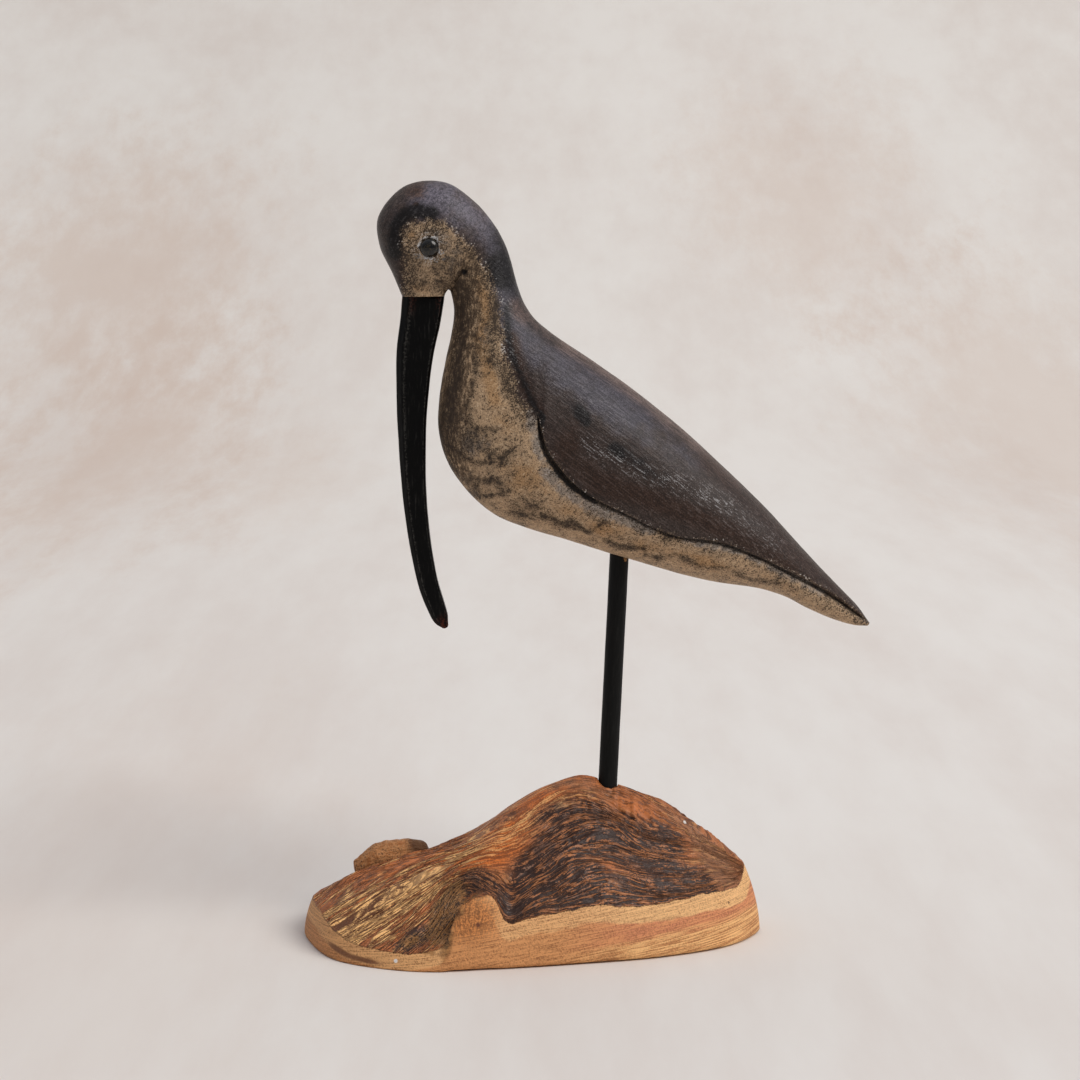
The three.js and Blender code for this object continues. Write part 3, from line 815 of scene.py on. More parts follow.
    worn: Touches = (
        Stroke(((22, 209), (31, 204), (43, 198), (56, 193), (68, 188), (80, 181)), 3.4, 0.95),
        Stroke(((66, 189), (84, 178), (98, 167)), 4.0, 0.5),
        Daub(-9, 250, 4, 9, 0.5, 20),
        Daub(-10, 262, 3, 6, 0.5),
        Stroke(((0, 240), (16, 229), (36, 215)), 5, 0.15),
    )

    def fields(self, points: Array, carved: Mapping[str, Array]) -> dict[str, Array]:
        """The named numbers that the paint's shader reads.

        Args:
            points: the bird's skin by row and column.
            carved: the numbers that the carving gave for each point.
        Returns:
            How far inside the pale paint each point lies, and the strength of each sort of wear and
            painted light.
        """
        x, _, z = np.moveaxis(points, -1, 0)
        pale = Patch(self.pale_edge, self.beyond).distance(x, z)
        made = {"pale": mix(pale, carved["below"], ease(*self.wing_ribs, carved["rib"]))}
        for name in "wash warm smoke streaks violet gleam rose rust soot worn".split():
            made[name] = painted(getattr(self, name), x, z)
        return made


@dataclass
class Bill:
    """The long curved bill with the peg that holds it in the face, drawn from its root."""

    node: str = "bill"
    line: tuple[Point, ...] = (  # x, z and depth
        (0, 0, 16.9), (-1.2, -9.4, 16.2), (-3.6, -24, 14.8), (-4.8, -43.7, 12.5),
        (-4.9, -58.5, 11.1), (-4.5, -73.3, 10.1), (-3.5, -88.2, 9.3), (-1.6, -103.1, 8.6),
        (1.3, -118.1, 8.2), (4.3, -127.4, 7.5), (6.4, -132.8, 6.2), (8.3, -136.1, 2.6),
    )
    width: float = 9.6
    tip_width: float = 0.42
    front_chamfer: float = 0.3
    rear_chamfer: float = 0.12
    edge_shares: tuple[float, ...] = (0.07, 0.2, 0.35, 0.5, 0.65, 0.8, 0.93)
    row_count: int = 300
    run_step: float = 0.1  # how far apart two places are that give the line's direction
    tip_rings: tuple[Place, ...] = ((0.78, 0.35), (0.42, 0.6))  # size and distance
    ripples: tuple[Ripple, ...] = (Ripple(8, 0.1, (9, 9, 14)), Ripple(8, 0.03, (2.5, 2.5, 5)))
    calm_share: float = 0.02
    corner_reach: float = 0.22
    peg_start: float = 4.0  # how deep in the bill the peg's bar starts

    def rings(self) -> tuple[Array, Array]:
        """The bill's rings, and how far down from the root each one is as a share."""
        share = np.linspace(0, 1, self.row_count)
        curve = Curve([(x, depth, z) for x, z, depth in self.line])
        last = len(self.line) - 1
        here = curve.at(share * last)
        before = curve.at(np.maximum(share * last - self.run_step, 0))
        after = curve.at(np.minimum(share * last + self.run_step, last))
        run = unit((after - before) * (1, 0, 1))
        ahead = np.stack([run[:, 2], 0 * share, -run[:, 0]], 1)
        ahead[0] = (-1, 0, 0)
        depth = here[:, 1]
        width = np.minimum(self.width * mix(1, self.tip_width, share), depth)
        corners = self.section(depth, width)
        rings = here[:, None] * (1, 0, 1) + ahead[:, None] * corners[..., :1]
        rings[..., 1] += corners[..., 1]
        for scale, step in self.tip_rings:
            last_ring = rings[self.row_count - 1]
            tip_ring = mix(last_ring.mean(0), last_ring, scale) + run[-1] * step
            rings = np.concatenate([rings, tip_ring[None]])
            share = np.append(share, 1.0)
        return rings, share

    def section(self, depth: Array, width: Array) -> Array:
        """The section's outline for each row, as places ahead and to the side.

        Args:
            depth: the rows' depths from front to rear.
            width: the rows' widths.
        Returns:
            Two numbers by row and column: a box with wide front corners and narrow rear ones
            taken off, and all its edges a little rounded.
        """
        front, rear, half = self.front_chamfer * width, self.rear_chamfer * width, width / 2
        near = [
            (depth / 2, front - half), (depth / 2 - front, -half),
            (rear - depth / 2, -half), (-depth / 2, rear - half),
        ]
        corners = near + [(ahead, -side) for ahead, side in reversed(near)]
        outline = []
        for start, end in zip(corners, corners[1:] + corners[:1]):
            for share in self.edge_shares:
                outline.append([mix(a, b, share) for a, b in zip(start, end)])
        return np.moveaxis(np.array(outline), -1, 0)

    def fit(self, rings: Array) -> Fit:
        """The fit of the drawn bill and its peg into the solid's box."""
        peg_end = UP * BIRD.tenon_length
        return Fit.into(self.node, np.concatenate([rings.reshape(-1, 3), [peg_end]]))

    def root(self) -> Array:
        """The middle of the bill's root, in place."""
        return self.fit(self.rings()[0][: self.row_count]).at(np.zeros(3))

    def build(self) -> Piece:
        """The bill in one piece with its peg."""
        drawn, share = self.rings()
        points = self.fit(drawn[: self.row_count]).at(drawn)
        height = sum(ripple.at(points) for ripple in self.ripples)
        height = height * ease(0, self.calm_share, share)[:, None]
        points = points + facing(points, True) * height[..., None]
        column = np.arange(points.shape[1]) / len(self.edge_shares)
        corner = np.abs(column - np.round(column))
        fields = {
            "share": np.broadcast_to(share[:, None], height.shape),
            "corner": np.broadcast_to(np.clip(1 - corner / self.corner_reach, 0, 1), height.shape),
        }
        piece = tube(points, fields).mesh("black_bill")
        root = self.root()
        peg_start, peg_end = root - UP * self.peg_start, root + UP * BIRD.tenon_length
        peg = dowel("peg", peg_start, peg_end, BIRD.tenon / 2)
        joined(piece, peg, Joinery.JOIN)
        return piece


@dataclass
class Eyes:
    """Two black beads, each let into its side of the head."""

    sides: tuple[str, str] = ("near", "far")
    seat_depth: float = 3.0
    seat_gap: float = 0.03
    seat_length: float = 1.5  # a seat's bar ends at this multiple of its bead's distance outward
    rim: float = 4.1
    segments: int = 64
    dome_rows: int = 20
    dome_share: float = 0.985  # the dome's rows end a little short of its top
    girdle_rows: int = 4
    girdle_share: float = 0.9
    back_share: float = 0.93
    back_bevel: float = 0.2

    def node(self, side: str) -> str:
        """The name of the solid that a bead stands for."""
        return f"eye_{side}"

    def place(self) -> Place:
        """The beads' middle in the side view."""
        low, high = solid(self.node("near"))
        return (low[0] + high[0]) / 2, (low[2] + high[2]) / 2

    def seat(self, side: str) -> tuple[Array, Array, float]:
        """The middle of a bead's flat back, a point well outside it, and the bead's radius."""
        low, high = solid(self.node(side))
        middle = (low + high) / 2
        inner, outer = sorted((low[1], high[1]), key=abs)
        back = np.array([middle[0], inner - np.sign(inner) * BIRD.clearance, middle[2]])
        outside = np.array([middle[0], outer * self.seat_length, middle[2]])
        return back, outside, (high[0] - low[0]) / 2

    def build(self, side: str) -> Piece:
        """One bead with a domed face and a flat back."""
        low, high = solid(self.node(side))
        inner, outer = sorted((low[1], high[1]), key=abs)
        radius, way = (high[0] - low[0]) / 2, np.sign(outer)
        girdle = inner + way * self.seat_depth
        turn = np.linspace(0, np.pi / 2 * self.dome_share, self.dome_rows)
        reach = np.concatenate([[self.back_share], np.ones(self.girdle_rows), np.cos(turn)]) * radius
        share = np.linspace(0, self.girdle_share, self.girdle_rows)
        flank = mix(inner + way * self.back_bevel, girdle, share)
        dome = girdle + (outer - girdle) * np.sin(turn) / np.sin(turn[-1])
        depth = np.concatenate([[inner], flank, dome])
        around = all_round(self.segments) * way
        middle = (low + high) / 2
        x = middle[0] + reach[:, None] * np.cos(around)
        z = middle[2] + reach[:, None] * np.sin(around)
        rings = np.stack([x, np.broadcast_to(depth[:, None], x.shape), z], -1)
        return tube(rings, {}).mesh(f"bead_eye_{side}")


@dataclass
class Leg:
    """The black dowel between the root and the bird, leaning a little toward the tail."""

    node: str = "leg"
    lean: float = 2.65
    row_count: int = 220
    segments: int = 56
    seed: int = 12
    inset: float = 0.06
    brushed: tuple[Point, ...] = ((0.05, 1.5, 7), (0.035, 7, 22))  # height, bumps around, length
    overrun: float = 40.0  # how far a socket's bar reaches back along the dowel

    def line(self) -> tuple[Array, Array, float]:
        """The middles of the dowel's two ends and its radius."""
        low, high = solid(self.node)
        radius = (high[1] - low[1]) / 2
        turn = math.radians(self.lean)
        rim = radius * np.array([math.cos(turn), 0, math.sin(turn)])
        middle = np.array([0, (low[1] + high[1]) / 2, 0])
        return low * (1, 0, 1) + middle + rim, high * (1, 0, 1) + middle - rim, radius

    def build(self) -> Piece:
        """The dowel with the slight unevenness of brushed paint."""
        start, end, radius = self.line()
        share = np.linspace(0, 1, self.row_count)[:, None]
        around = all_round(self.segments)
        cos, sin = np.cos(around), np.sin(around)
        noise, length = Roughcast(self.seed), np.linalg.norm(end - start)
        uneven = sum(height * noise.at(cos * bumps, sin * bumps, share * length / size)
                     for height, bumps, size in self.brushed)
        reach = radius - self.inset + uneven
        way = unit(end - start)
        ahead = np.array([-way[2], 0, way[0]])
        ring = cos[:, None] * ahead + sin[:, None] * np.array([0, 1.0, 0])
        middle = start + share[..., None] * (end - start)
        return tube(middle + ring * reach[..., None], {}).mesh("dowel_leg")

    def socket(self, name: str, upper: bool) -> Piece:
        """A bar that cuts the hole for the dowel's upper end or its lower one."""
        low, high, radius = self.line()
        way, gap = unit(high - low), BIRD.clearance
        if upper:
            return dowel(name, high - way * self.overrun, high + way * gap, radius + gap)
        return dowel(name, low - way * gap, low + way * self.overrun, radius + gap)


@dataclass
class RootBase:
    """The slice of root wood with its sawn sides, rough top and the stub of a side root."""

    node: str = "base"
    outline: tuple[Point, ...] = (  # x, y and the sawn side's height
        (-95.3, 1.6, 14.5), (-91, -20, 14.8), (-80, -42.5, 10.2), (-62, -54.3, 7.2),
        (-41, -59.8, 8.4), (-13, -56.1, 18), (19.5, -49.2, 20.5), (52, -40.1, 21),
        (78.9, -25.8, 22), (90.5, -11.9, 22.5), (95.5, 1.6, 29), (90, 16, 23), (78, 29, 19),
        (52, 41, 17), (22, 47, 16), (-8, 48, 14), (-38, 45, 11), (-60, 41, 10), (-80, 33, 10),
        (-91.5, 19, 12),
    )
    crest: tuple[Point, ...] = (
        (-66, 6, 26.4), (-52, 8, 30.4), (-38, 8, 35), (-22, 7, 43), (-6, 3, 55.4), (8, 0, 63.2),
        (21, 0, 67), (33, 0, 63.8), (46, 1, 59), (57, 2, 53.6), (70, 3, 43.4),
    )
    front_bulge: float = 1.3
    back_bulge: float = 1.0
    sawn_bulge: float = 1.8
    foot_inset: float = 3.0
    foot_row: float = 0.04
    sawn_flare: float = 13.5
    ragged: float = 0.5  # how uneven the sawn sides' upper edge is, and one bump's size
    ragged_size: float = 6.0
    ragged_ends: float = 0.3
    calm_row: float = 0.3
    calm_rim: float = 0.975
    calm_end: float = 0.02
    torn_from: Span = (-14, -34)
    smooth_rows: Span = (0.2, 0.0)
    smooth_to: Span = (40, 10)
    front_from: Span = (-8, -20)
    above_rim: float = 40.0  # what the crest's distance from the sawn sides counts as
    knot: tuple[float, float, float, float] = (-24, 10.2, 14.5, 5)  # x, reach, rise, steepness
    knot_edges: Span = (8, 3.6)  # how sharp its left and its right edge are
    swellings: tuple[Daub, ...] = (
        Daub(-27, -38, 8, 6, -2), Daub(-11, -44, 6, 9, -3.5), Daub(-3, -33, 8, 8, -2),
        Daub(8, -22, 9, 8, -1.8), Daub(20, -36, 16, 10, 3.5), Daub(56, -20, 20, 10, 2.5),
        Daub(-60, -26, 20, 10, 2), Daub(-40, -45, 8, 5, -2.4, 65), Daub(-27, -33, 8, 2.5),
        Daub(27, -22, 17, 4, 1.3, 5), Daub(27, -14.5, 14, 3.5, -1.4), Daub(30, -28, 14, 3, -1.0, 5),
        Daub(42, -10, 5, 4, 1.2),
    )
    knobs: tuple[Daub, ...] = (
        Daub(43, -11, 8, 7, 1, -20), Daub(22, -14, 8, 5, 0.6), Daub(-1, -29, 4, 3, 0.8),
        Daub(14, -26, 4, 3, 0.8), Daub(-8, -14, 10, 5, 0.4, 30), Daub(60, -10, 12, 8, 0.6),
        Daub(-37, -43, 9, 7, 0.5, 60), Daub(32, -6, 12, 5, 0.5),
    )
    stub: tuple[Point, ...] = ((-76, 21, 24), (-44, 23, 29.5))
    stub_diameter: float = 13.0
    stub_left: tuple[Place, ...] = ((0.1, 0.3), (0.42, 0.6), (0.6, 2.6), (0.82, 6.5), (0.97, 11))
    stub_right: tuple[Place, ...] = (  # shares of the radius and of the length; at the left in mm
        (1, 0.45), (0.96, 0.64), (0.84, 0.8), (0.62, 0.92), (0.36, 0.985), (0.1, 1),
    )
    stub_sag: float = 2.6
    stub_slope: float = 11.0
    stub_columns: int = 96
    stub_steps: int = 12
    column_count: int = 400
    samples: int = 2001
    edge_share: float = 0.8  # how much the outline's length counts where columns are laid out
    fit_rows: int = 40
    flank_rows: int = 98
    sawn_rows: int = 14
    flake_steps: float = 2.6
    weaves: Mapping[str, Weave] = field(default_factory=lambda: {
        "flakes": Weave(17, 2.0, 40, 2), "fibres": Weave(12, 1.15, 0, 2), "folds": Weave(11, 1.7, 80),
        "broad": Weave(22, 5.0, 120), "grit": Weave(3.2, 1.0, 160), "lines": Weave(12, 1.3, 200),
    })
    fibres: tuple[tuple[float, tuple[Place, ...]], ...] = (  # place across, and nails in plan
        (0, ((-89, -15), (-71, 2), (-55, 5), (-27, -2), (6, -2), (41, -3), (69, -4), (88, 0))),
        (11, ((-85, -29), (-71, -23), (-55, -13), (-38, -9), (-21, -17), (-4, -17), (8, -12),
              (26, -10), (46, -16), (58, -13), (72, -7), (88, 0))),
        (26, ((-75, -45), (-61, -39), (-45, -32), (-33, -27), (-21, -29), (-1, -28), (19, -21),
              (29, -18), (46, -21), (61, -18), (76, -8), (88, -1))),
        (36, ((-63, -52), (-51, -45), (-42, -38), (-35, -32), (-22, -33), (-14, -39), (-8, -42),
              (2, -38), (10, -35), (29, -28), (44, -27), (64, -22), (84, -6))),
        (44, ((-52, -57), (-42, -50), (-36, -44), (-30, -36), (-24, -36), (-19, -43), (-14, -48),
              (-9, -49), (2, -44), (9, -41), (19, -37), (32, -32), (48, -30), (69, -23), (85, -7))),
        (56, ((-12, -53), (-5, -51), (11, -48), (35, -41), (60, -32), (77, -21), (88, -5))),
    )
    slope_share: float = 1.25  # how much longer the slope is than its plan

    wall_marks: Mapping[str, tuple[Daub, ...]] = field(default_factory=lambda: {
        "knob": (Daub(-25, 22, 13, 11),),
        "moss_wall": (Daub(-34, 13, 3, 8), Daub(-30, 23, 4, 2.5), Daub(-42, 8, 8, 1.5, 0.7, -8)),
        "stain": (Daub(-78, 4.6, 7, 1.5, 1, -16), Daub(-67, 2.7, 8, 1.3, 1, -5)),
    })
    colours: Mapping[str, Touches] = field(default_factory=lambda: {
        "straw": (
            Daub(-60, -35, 24, 11, 1, 25), Daub(-45, -25, 16, 8, 0.9, 30),
            Daub(-78, -24, 13, 9, 0.75, 40), Daub(-70, -42, 10, 6, 0.9, 35),
            Daub(-6, -17, 16, 5, 0.6, 25), Daub(10, -12, 9, 4, 0.5, 20),
            Daub(-24, -20, 18, 8, 0.2, 10), Daub(-30, -8, 20, 7, 0.25, 10), Daub(0, -4, 12, 5, 0.3, 10),
        ),
        "orange": (
            Daub(-17, -25, 15, 8, 1, 5), Daub(-32, -15, 15, 8, 0.8, 15), Daub(4, -6, 10, 5, 0.5, 20),
            Daub(-8, -17, 8, 5, 0.6, 30), Daub(43, -9, 7, 5, 0.3), Daub(-52, -3, 18, 7, 0.3, 5),
            Daub(10, -3, 12, 6, 0.8, 20), Daub(24, 1, 9, 6, 0.8), Daub(44, -28, 16, 4, 0.5, 5),
        ),
        # Dark purple-brown bark, partly painted shade in the bands and hollows across the slope and
        # along the front rim.
        "plum": (
            Stroke(((-26, -35), (-21, -36), (-15, -43), (-9, -48), (0, -44), (12, -39), (24, -36)), 3.6),
            Stroke(((0, -47), (15, -44), (35, -38), (58, -31), (72, -23)), 5, 0.9),
            Stroke(((12, -21), (22, -16), (34, -17), (46, -19), (58, -15)), 4, 0.95),
            Stroke(((10, -31), (24, -25), (38, -24), (55, -25)), 3.5, 0.7), Daub(8, -17, 7, 5, 0.6, 20),
            Daub(-26, -32, 8, 3.5, 0.6), Daub(-44, -50, 11, 5, 1.1, 25), Daub(2, -32, 12, 7, 0.7, 20),
            Daub(34, -25, 16, 4, 0.6), Daub(52, -27, 14, 5, 0.5, 5),
        ),
        "tan": (
            Daub(76, -11, 14, 12, 1, 40), Daub(62, -5, 14, 5, 0.7), Daub(64, -27, 6, 2.5, 0.9, 25),
            Daub(30, -8, 12, 4, 0.6), Daub(40, -29, 12, 3, 0.5, 10), Daub(14, -3, 16, 5, 0.8),
        ),
        "moss": (
            Daub(-36, -47, 11, 6, 1, 75), Daub(-32, -50, 8, 3.5, 1, 80), Daub(-33, -38, 8, 5, 0.9, 40),
            Daub(-49, -52, 8, 3.5, 0.7, 20), Daub(-25, -44, 8, 4, 0.6),
        ),
    })

    def __post_init__(self) -> None:
        """Bends the long curves and lays out the columns."""
        self.outline_curve = Curve(self.outline, closed=True)
        self.crest_curve = Curve(self.crest)
        fine = np.linspace(0, 1, self.samples)
        crest = self.crest_curve.at(fine * (len(self.crest) - 1))
        lines = crest, self.edge(True, fine) * self.edge_share
        run = sum(np.linalg.norm(np.diff(line, axis=0), axis=1) for line in lines)
        self.column = evened(fine, run, self.column_count)

    def edge(self, front: bool, column: Array) -> Array:
        """Points of the outline on the ground, with the sawn side's height as the third number.

        Args:
            front: the front half of the outline, or else the back one.
            column: shares of the way from the left end to the right.
        Returns:
            One point for each share.
        """
        count = len(self.outline)
        row = column * count / 2
        return self.outline_curve.at(row if front else (count - row) % count)

    def top(self, front: bool, column: Array, row: Array) -> Array:
        """Points of the root's natural top.

        Args:
            front: the front flank, or else the back one.
            column: shares of the way from left to right.
            row: shares of the way from the crest to the sawn side.
        Returns:
            Points by column and row, as drawn.
        """
        crest = self.crest_curve.at(column * (len(self.crest) - 1))
        ground = self.edge(front, column)
        knot_x, reach, rise, steepness = self.knot
        spots = ground[:, 0] / self.ragged_size, ground[:, 1] / self.ragged_size
        ragged = self.ragged * Roughcast(21).at(*spots, layers=3)
        beside = (ground[:, 0] - knot_x) / reach
        sharp = np.where(beside < 0, *self.knot_edges)
        knot = rise * np.exp(-(np.abs(beside) ** sharp)) if front else 0 * column
        wall = ground[:, 2] + knot + ragged * np.sin(np.pi * column) ** self.ragged_ends
        foot = ground * (1, 1, 0)
        inward = unit((crest - ground) * (1, 1, 0))
        rim = foot + inward * (wall * math.tan(math.radians(self.sawn_flare)))[:, None]
        flat = mix(crest[:, None], rim[:, None], row[:, None])
        behind = 0 * column if front else np.sin(np.pi * column)
        fall = row ** mix(self.front_bulge, self.back_bulge, behind)[:, None]
        lift = (wall - ground[:, 2])[:, None] * row**steepness
        flat[..., 2] = mix(crest[:, 2:], ground[:, 2:], fall) + lift
        swell = sum(daub.at(flat[..., 0], flat[..., 1]) for daub in self.swellings)
        flat[..., 2] += swell * ease(0, self.calm_row, row)
        return flat

    def grain(self, x: Array, y: Array) -> tuple[Array, Array]:
        """Where places lie along and across the root's fibres, in millimetres.

        Args:
            x: how far right they are.
            y: how far back they are.
        Returns:
            Distances along the fibres and across them.
        """
        places = np.stack([x.ravel(), y.ravel()], 1)
        weights, along, across = (np.zeros(x.size) for _ in range(3))
        for place, nails in self.fibres:
            way, beside = walked(places, Curve(nails).drawn(5))
            weight = (beside**2 + 1.5) ** -1.5
            weights += weight
            along += weight * (way + nails[0][0])
            across += weight * (place + self.slope_share * beside)
        bend = Roughcast(31)
        warp = 1.1 * bend.at(x / 17, y / 13) + 0.45 * bend.at(x / 6, y / 4.5 + 9)
        along, across = ((each / weights).reshape(x.shape) for each in (along, across))
        return along, across + warp * mix(0.25, 1, ease(-34, -10, x))

    def zones(self, x: Array, y: Array, rows: Array) -> dict[str, Array]:
        """How much of each kind of surface and colour there is at places, from 0 to 1."""
        named = {name: painted(touches, x, y) for name, touches in self.colours.items()}
        torn = ease(*self.torn_from, x)
        crest = ease(*self.smooth_rows, rows) * ease(*self.smooth_to, x)
        smooth = np.clip(named["orange"] * 1.6 + crest, 0, 1) * (1 - torn)
        named |= {"torn": torn, "smooth": smooth, "bark": np.clip(1 - torn - smooth, 0, 1)}
        return named

    def relief(self, x: Array, y: Array, rows: Array) -> tuple[Array, dict[str, Array]]:
        """The root's fibres, ridges and knobs.

        Args:
            x: how far right the places are.
            y: how far back they are.
            rows: shares of the way from the crest to the sawn side.
        Returns:
            How far the surface is lifted, and the named numbers that the shader reads.
        """
        along, across = self.grain(x, y)
        zone = self.zones(x, y, rows)
        noise = Roughcast(41)
        flakes, fibres, folds, broad, grit, lines = (
            weave.at(noise, along, across) for weave in self.weaves.values())
        steps = np.round(flakes * self.flake_steps) / self.flake_steps
        torn = 0.7 * mix(flakes, steps, 0.7) + 0.4 * fibres
        bark = 0.5 * (1 - 2 * np.abs(folds)) + 0.55 * broad + 0.15 * grit
        smooth = 0.14 * lines + 0.25 * broad
        knobs = noise.at(x / 2.5, y / 2.5) * painted(self.knobs, x, y)
        height = torn * zone["torn"] + bark * zone["bark"] + smooth * zone["smooth"] + 1.2 * knobs
        return height, {"along": along, "across": across, "relief": height} | zone

    def strip(self, fit: Fit) -> tuple[Array, dict[str, Array]]:
        """The root's whole skin from the front's ground over the crest to the back's ground.

        Args:
            fit: the drawn shape's fit into the solid's box.
        Returns:
            Points by column and row, and the named numbers that the shader reads.
        """
        row = np.linspace(0, 1, self.flank_rows)
        front, back = (fit.at(self.top(side, self.column, row)) for side in (True, False))
        plain = np.concatenate([front[:, ::-1], back[:, 1:]], 1)
        rows = np.broadcast_to(np.concatenate([row[::-1], row[1:]]), plain.shape[:2])
        height, named = self.relief(plain[..., 0], plain[..., 1], rows)
        end = np.minimum(self.column, 1 - self.column)[:, None]
        height = height * ease(1, self.calm_rim, rows) * ease(0, self.calm_end, end)
        top = plain + facing(plain, False) * height[..., None]
        named["drop"] = (rows - 1) * self.above_rim
        walls, falls = [], []
        for side, rim in ((True, top[:, :1]), (False, top[:, -1:])):
            ground = fit.at(self.edge(side, self.column) * (1, 1, 0))[:, None]
            level = np.append(np.linspace(1, self.foot_row, self.sawn_rows)[1:], 0)
            wall = mix(ground, rim, (level**self.sawn_bulge)[:, None])
            inward = unit(ground * (-0.5, -1, 0))
            wall += inward * (self.foot_inset * (level == 0))[:, None]
            wall[..., 2] = rim[..., 2] * level
            walls.append(wall)
            falls.append(rim[..., 2] - wall[..., 2])
        points = np.concatenate([walls[0][:, ::-1], top, walls[1]], 1)
        x, y, z = np.moveaxis(points, -1, 0)
        at_front = ease(*self.front_from, y)
        marks = {name: painted(daubs, x, z) * at_front for name, daubs in self.wall_marks.items()}
        for name, values in named.items():
            rims = values[:, :1], values[:, -1:]
            sides = falls if name == "drop" else [np.repeat(rim, self.sawn_rows, 1) for rim in rims]
            named[name] = np.concatenate([sides[0][:, ::-1], values, sides[1]], 1)
        return points, named | marks

    def side_root(self, fit: Fit) -> Piece:
        """The short side root at the back, sawn off at both ends and rounded over."""
        left, right = (fit.at(np.array(end, float)) for end in self.stub)
        length, radius = np.linalg.norm(right - left), self.stub_diameter / 2
        nails = [*self.stub_left, *((share, part * length) for share, part in self.stub_right)]
        profile = Curve(nails).drawn(self.stub_steps)
        way = unit(right - left)
        side = unit(np.cross(way, UP))
        other = np.cross(side, way)
        around = all_round(self.stub_columns)
        reach, depth = profile[:, :1] * radius, profile[:, 1:]
        noise = Roughcast(51)
        cos, sin = np.cos(around), np.sin(around)
        rough = 0.35 * noise.at(cos * 2.2, sin * 2.2, depth / 4, layers=3)
        rough += 0.22 * noise.at(cos * 9, sin * 9, depth / 6)
        reach = reach + rough * ease(0, 3, reach)
        sag = self.stub_sag * (1 - ease(0, self.stub_slope, depth))
        middle = left + depth[..., None] * way - sag[..., None] * UP
        rings = middle + reach[..., None] * (cos[:, None] * side + sin[:, None] * other)
        named = {
            "stub": np.ones(reach.shape),
            "relief": rough * 2,
            "along": np.broadcast_to(depth, reach.shape),
            "across": np.broadcast_to(around * radius, reach.shape),
        }
        return tube(rings, named).mesh("side_root")

    def build(self) -> Piece:
        """The root with its side root joined on and the hole for the leg cut."""
        row = np.linspace(0, 1, self.fit_rows)
        drawn = [self.top(front, self.column, row).reshape(-1, 3) for front in (True, False)]
        drawn += [self.edge(front, self.column) * (1, 1, 0) for front in (True, False)]
        fit = Fit.into(self.node, np.concatenate(drawn))
        points, named = self.strip(fit)
        columns, rows = points.shape[:2]
        form = Form()
        form.add(points, named | {"stub": np.zeros((columns, rows))})
        index = np.arange(columns * rows).reshape(columns, rows)
        for end in (0, -1):  # both flanks share their points at the pointed ends
            index[end, rows // 2:] = index[end, rows // 2::-1]
        form.quads(grid_faces(index))
        form.quads(np.stack([index[:-1, 0], index[:-1, -1], index[1:, -1], index[1:, 0]], -1))
        piece = form.mesh("root_wood_base")
        joined(piece, self.side_root(fit), Joinery.JOIN)
        joined(piece, LEG.socket("foot_hole", False), Joinery.CUT)
        return piece


BIRD, PAINTWORK, BILL, EYES, LEG, ROOT = Bird(), Paintwork(), Bill(), Eyes(), Leg(), RootBase()


class Wire:
    """A number on its way through a shader, open to Python's arithmetic."""

    def __init__(self, shader: "Shader", socket: bpy.types.NodeSocket) -> None:
        """Holds the socket that the number comes from."""
        self.shader = shader
        self.socket = socket

    def through(self, operation: str, *numbers: Any) -> "Wire":
        """The result of one Math node."""
        node = self.shader.node("ShaderNodeMath", {"operation": operation}, dict(enumerate(numbers)))
        return Wire(self.shader, node.outputs[0])

    def __add__(self, other: Any) -> "Wire":
        """This number and another one together."""
        return self.through("ADD", self, other)

    __radd__ = __add__

    def __sub__(self, other: Any) -> "Wire":
        """This number less another one."""
        return self.through("SUBTRACT", self, other)

    def __rsub__(self, other: Any) -> "Wire":
        """Another number less this one."""
        return self.through("SUBTRACT", other, self)

    def __mul__(self, other: Any) -> "Wire":
        """This number times another one."""
        return self.through("MULTIPLY", self, other)

    __rmul__ = __mul__

    def __truediv__(self, other: Any) -> "Wire":
        """This number divided by another one."""
        return self.through("DIVIDE", self, other)

    def __rtruediv__(self, other: Any) -> "Wire":
        """Another number divided by this one."""
        return self.through("DIVIDE", other, self)

    def __abs__(self) -> "Wire":
        """This number without its sign."""
        return self.through("ABSOLUTE", self)

    def most(self, other: Any) -> "Wire":
        """The larger of this number and another one."""
        return self.through("MAXIMUM", self, other)

    def least(self, other: Any) -> "Wire":
        """The smaller of this number and another one."""
        return self.through("MINIMUM", self, other)

    def step(self, low: float, high: float) -> "Wire":
        """A smooth step from 0 at low to 1 at high; low may lie above high."""
        if low > high:
            return 1 - self.step(high, low)
        settings = {"interpolation_type": "SMOOTHSTEP"}
        sockets = {"Value": self, "From Min": low, "From Max": high}
        return Wire(self.shader, self.shader.node("ShaderNodeMapRange", settings, sockets).outputs[0])


